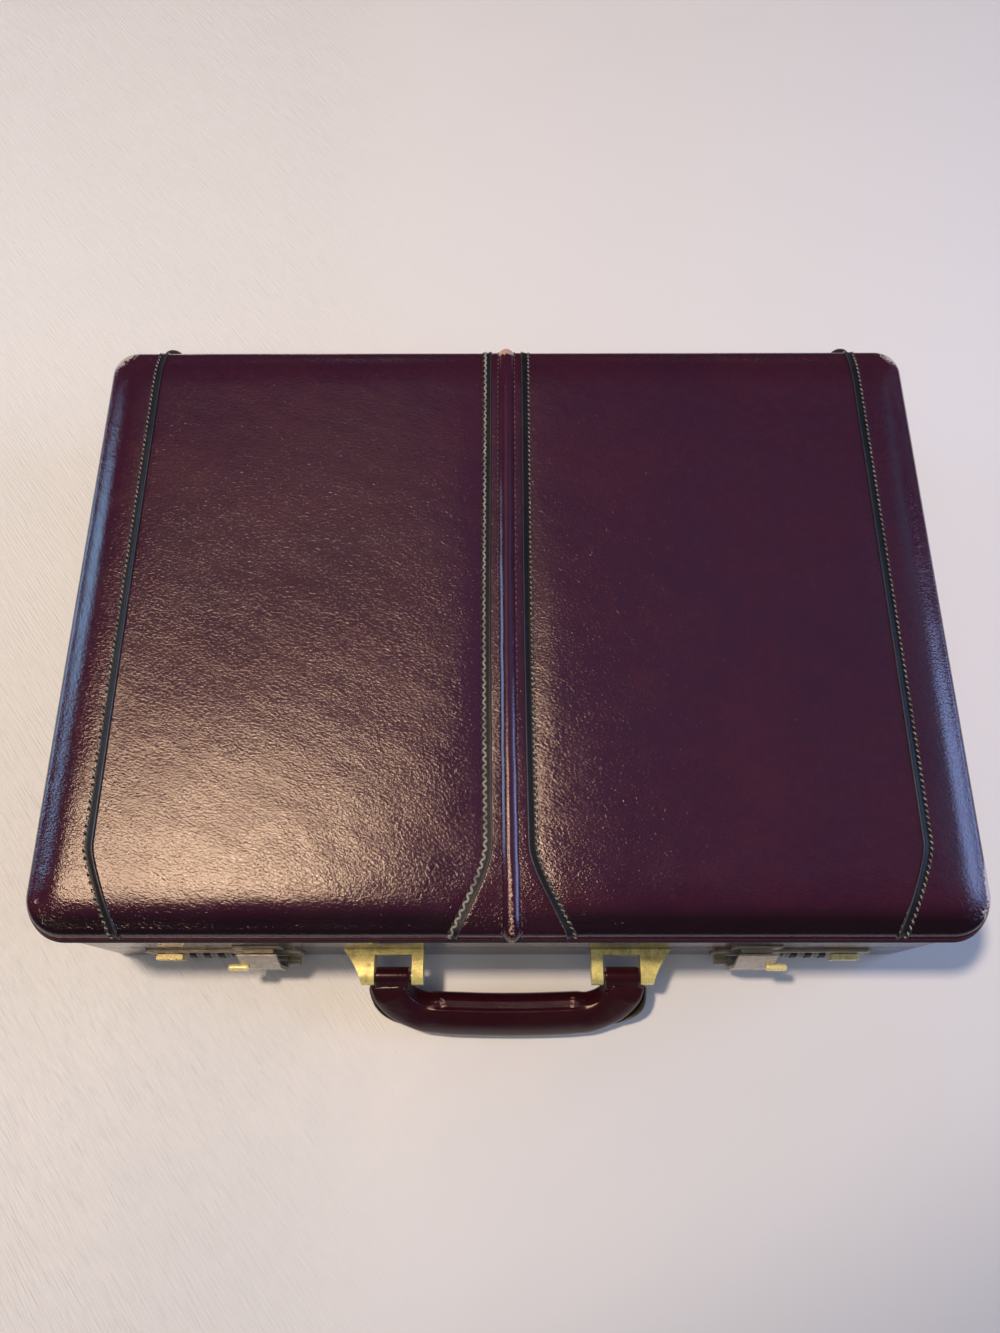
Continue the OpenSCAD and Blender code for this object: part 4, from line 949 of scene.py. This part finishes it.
# The side flaps of the handle
# A narrow facing of thin hide is glued to the outer side of each shoulder, tapering to both ends.
# The right one has come loose and stands off by a bell, and the left one only shows its edge.
facing = hide("facing_hide", (0.03, 0.025, 0.02), (0.05, 0.04, 0.032), 0.42, (0.4, 0.33, 0.28), grain=0.4)
flap_half_w, flap_t, flap_out = 4.6, 0.7, 9.9
flap_degrees = np.linspace(14, 66, 27)[:, None]
flap_a = np.radians(flap_degrees)
across = np.linspace(-1, 1, 9)[None, :]
taper = np.sin(np.clip((flap_degrees - 12) / 58, 0, 1) * math.pi) ** 0.6
for side, word, loose in ((-1, "left", 0.8), (1, "right", 3.4)):
    flap_r = shoulder_r + flap_out + loose * bell(flap_degrees, 32, 15) * (0.75 + 0.25 * across)
    flap_points = let_down(
        side * (straight_x + flap_r * np.cos(flap_a)),
        grip_reach - shoulder_r + flap_r * np.sin(flap_a),
        across * flap_half_w * taper,
    )
    flap = make_mesh(f"handle_flap_{word}", flap_points, grid_faces(*flap_points.shape[:2]), facing)
    thicken(flap, flap_t, 0)
    set_wear(flap, 0.42 * bell(np.abs(across), 1, 0.15) + 0 * flap_a)
    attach(flap, "handle")

# The steel core lies hidden in the sleeve
dressed("handle_core", nickel)


# The locks
# On each side a brass plate with a case behind it, three dials on one axle, a thumb button that
# slides outwards against a spring, and a hasp on a pin that closes over the strike on the lid.
def move_faces(piece, material, chosen):
    """Gives a second material to the faces whose middles the function chosen picks."""
    piece.data.materials.append(material)
    middles = np.zeros(3 * len(piece.data.polygons))
    piece.data.polygons.foreach_get("center", middles)
    piece.data.polygons.foreach_set("material_index", chosen(middles.reshape(-1, 3) / mm).astype(int))


def dial_numbers(name, middle, radius, height, material, body):
    """The plain numbers 0 to 9 round a drum, 36 degrees apart, each a thin solid standing out
    of it, its base towards the floor when it faces forwards."""
    stands, sunk = 0.15, 0.1
    whole = bmesh.new()
    for digit in range(10):
        text = bpy.data.curves.new("digit", "FONT")
        text.body = str(digit)
        text.size = height * mm
        text.extrude = stands * mm
        text.resolution_u = 3
        text.align_x, text.align_y = "CENTER", "CENTER"
        drawn = put_in_scene("digit", text)
        flat_digit = drawn.to_mesh()
        a = math.radians(36 * digit)
        outward, above = Vector((0, -math.cos(a), math.sin(a))), Vector((0, math.sin(a), math.cos(a)))
        place = Vector(middle) * mm + outward * (radius - sunk) * mm
        flat_digit.transform(placing((1, 0, 0), above, outward, place))
        whole.from_mesh(flat_digit)
        drawn.to_mesh_clear()
        bpy.data.objects.remove(drawn)
    bmesh.ops.remove_doubles(whole, verts=whole.verts, dist=0.001 * mm)
    bmesh.ops.recalc_face_normals(whole, faces=whole.faces)
    mesh = bpy.data.meshes.new(name)
    whole.to_mesh(mesh)
    whole.free()
    mesh.materials.append(material)
    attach(put_in_scene(name, mesh), body)


def roll_along_x(name, middle, half_l, radius, material):
    """Solid roll along x with rounded ends: its radius is radius times the fourth root of
    (1 - s^8), s being the way from its middle to an end."""
    share = np.sin(np.linspace(-math.pi / 2, math.pi / 2, 21)) * 0.999
    a = np.radians(np.arange(0, 360, 15))
    girth = radius * (1 - share**8)[:, None] ** 0.25
    rings = np.stack([half_l * share[:, None] + 0 * a, girth * np.cos(a), girth * np.sin(a)], axis=-1)
    return loft(name, rings + np.array(middle), material)


def moulded(name, colour, roughness, speck):
    """Moulded hard plastic or rubber: a fine satin grain and dusty patches."""
    finish = Finish(name, colour, roughness)
    dusty = finish.ramp(finish.noise(4, 4), 0.45, 0.75)
    finish.set("Base Color", finish.mix(dusty, colour, speck))
    finish.set("Roughness", finish.ramp(finish.noise(1.2, 3), 0.3, 0.7, roughness - 0.06, roughness + 0.1))
    finish.relief((finish.noise(0.3, 3), 0.03))
    return finish.material


smooth_brass = old_brass("smooth_brass", (1.0, 0.87, 0.42), (0.78, 0.66, 0.3), 0.24, 0.2)
brown_brass = old_brass("brown_brass", (0.46, 0.41, 0.32), (0.3, 0.27, 0.21), 0.3, 0.2)
dull_brass = old_brass("dull_brass", (0.36, 0.31, 0.22), (0.24, 0.2, 0.14), 0.36, 0.5)
drum_plastic = moulded("drum_plastic", (0.2, 0.195, 0.19), 0.42, (0.3, 0.29, 0.27))
knurl_plastic = moulded("knurl_plastic", (0.018, 0.017, 0.018), 0.38, (0.05, 0.045, 0.04))
number_paint = moulded("number_paint", (0.015, 0.014, 0.014), 0.5, (0.05, 0.045, 0.04))
# The roll at the free corner of each hasp
roll_x, roll_y, roll_z, roll_half_l, roll_r = 138.6, -175.4, 37.5, 5.4, 1.9
# A dial's drum takes up 0.55 of its width, and its knurled ring stands 0.6 mm higher
drum_share, knurl_h, digit_h = 0.55, 0.6, 3.4
for side, word in sides:
    dressed(f"lock_plate_{word}", dull_brass, edge=0.3)
    dressed(f"lock_case_{word}", nickel, edge=0.15)
    dressed(f"hasp_{word}", brown_brass, edge=0.35)
    roll_middle = (side * roll_x, roll_y, roll_z)
    roll = roll_along_x(f"hasp_roll_{word}", roll_middle, roll_half_l, roll_r, smooth_brass)
    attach(roll, f"hasp_{word}")
    dressed(f"strike_{word}", dull_brass, edge=0.3)
    dressed(f"button_{word}", smooth_brass, edge=0.5)
    for i in (1, 2, 3):
        node = f"dial_{word}_{i}"
        low, high = box_of(node)
        dial = dressed(node, drum_plastic, edge=0.12)
        drum_l = drum_share * (high[0] - low[0])
        drum_end = min(abs(low[0]), abs(high[0])) + drum_l
        move_faces(dial, knurl_plastic, lambda points: np.abs(points[:, 0]) > drum_end - 0.01)
        _, dial_y, dial_z = (low + high) / 2
        middle = (side * (drum_end - drum_l / 2), dial_y, dial_z)
        drum_r = (high[1] - low[1]) / 2 - knurl_h
        dial_numbers(f"{node}_numbers", middle, drum_r, digit_h, number_paint, body_of[node])
    # The spring gets a mesh of its own
    spring = dressed(f"button_spring_{word}", nickel, angle=50)
    low, high = box_of(f"button_spring_{word}")
    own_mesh(spring)
for node in ("dial_axles", "hasp_pins"):
    dressed(node, nickel, angle=50)


# The hinges, the feet and the stays
# Two brass butt hinges are screwed to the back walls, with rubber-topped feet beyond them. Inside,
# on each side, two steel links fold flat beside the wall and rise as a parallelogram with the lid.
plate_brass = old_brass("plate_brass", (0.84, 0.73, 0.37), (0.62, 0.53, 0.27), 0.3, 0.05)
for half in ("base", "lid"):
    dressed(f"hinge_leaves_{half}", plate_brass, edge=0.25)
    dressed(f"hinge_screws_{half}", plate_brass, edge=0.15)
    dressed(f"feet_{half}", knurl_plastic, angle=40)
    dressed(f"stay_plates_{half}", nickel, edge=0.2)
for node in ("hinge_pins", "stay_lower_left", "stay_upper_left", "stay_lower_right", "stay_upper_right"):
    dressed(node, nickel, edge=0.2)


# The shell and the lining
# Fibreboard trays, the brass rims that meet when the case closes, and a tan suede lining that is
# glued to the walls and the floor.
def suede(name, colour, brushed):
    """Split suede: a short nap brushed this way and that, which lies darker or paler."""
    finish = Finish(name, colour, 0.92, Sheen_Weight=0.45, Sheen_Roughness=0.4)
    nap = finish.math("ADD", finish.noise(38, 3, rough=0.6), finish.noise(1.2, 3))
    finish.set("Base Color", finish.mix(finish.ramp(nap, 0.8, 1.25), colour, brushed))
    finish.relief((finish.noise(0.5, 3), 0.16), (finish.noise(22, 2), 0.35))
    return finish.material


def fibreboard(name, colour, dark):
    """Pressed board: short matted fibres."""
    finish = Finish(name, colour, 0.85)
    fibres = finish.noise(2.4, 5, finish.at(scale=(1, 3, 1)), distortion=1.5)
    finish.set("Base Color", finish.mix(finish.ramp(fibres, 0.35, 0.7), colour, dark))
    finish.relief((fibres, 0.15))
    return finish.material


tan_suede = suede("tan_suede", (0.3, 0.19, 0.115), (0.4, 0.27, 0.17))
board = fibreboard("fibreboard", (0.22, 0.15, 0.09), (0.13, 0.085, 0.05))
for half in ("base", "lid"):
    dressed(f"{half}_board", board)
    dressed(f"{half}_lining", tan_suede, edge=0.3)
    dressed(f"{half}_frame", dull_brass, edge=0.3)


# The organiser in the lid
# A leather panel on folded gussets, which leaves a file pocket behind it, hemmed with the same
# linen thread. Three card pockets a side and three pen loops are sewn to it.
def sewn_lines(name, lines, normal, pitch):
    """Running stitches along straight lines, one in each pitch and 0.62 of it long."""
    spots, ends = [], []
    for begin, end in lines:
        begin, end = np.array(begin, float), np.array(end, float)
        count = int(np.linalg.norm(end - begin) / pitch)
        share = np.linspace(0, 1, count + 1)[:-1, None]
        spots.append(begin + share * (end - begin))
        ends.append(begin + (share + 0.62 / count) * (end - begin))
    pairs = np.stack([np.concatenate(spots), np.concatenate(ends)], axis=1).reshape(-1, 3)
    upwards = np.repeat(np.array([normal], float), len(pairs), axis=0)
    stitches(name, pairs, upwards, skip=2, radius=0.28, rise=0.3, material=linen)


def frame_lines(low, high, inset, z):
    """The four sides of a rectangle inside a box, inset from it, at height z."""
    x0, x1, y0, y1 = low[0] + inset, high[0] - inset, low[1] + inset, high[1] - inset
    corners = [(x0, y0, z), (x1, y0, z), (x1, y1, z), (x0, y1, z)]
    return list(zip(corners, corners[1:] + corners[:1]))


dressed("organiser_panel", burgundy, edge=0.8)
dressed("organiser_gussets", tan_suede, edge=0.2)
dressed("card_pockets", burgundy, edge=0.5)
dressed("pen_loops", calf, edge=0.3)
panel_low, panel_high = box_of("organiser_panel")
hem_inset, hem_pitch = 4, 4.5
hem = frame_lines(panel_low, panel_high, hem_inset, panel_low[2] - 0.1)
sewn_lines("organiser_stitches", hem, (0, 0, -1), hem_pitch)
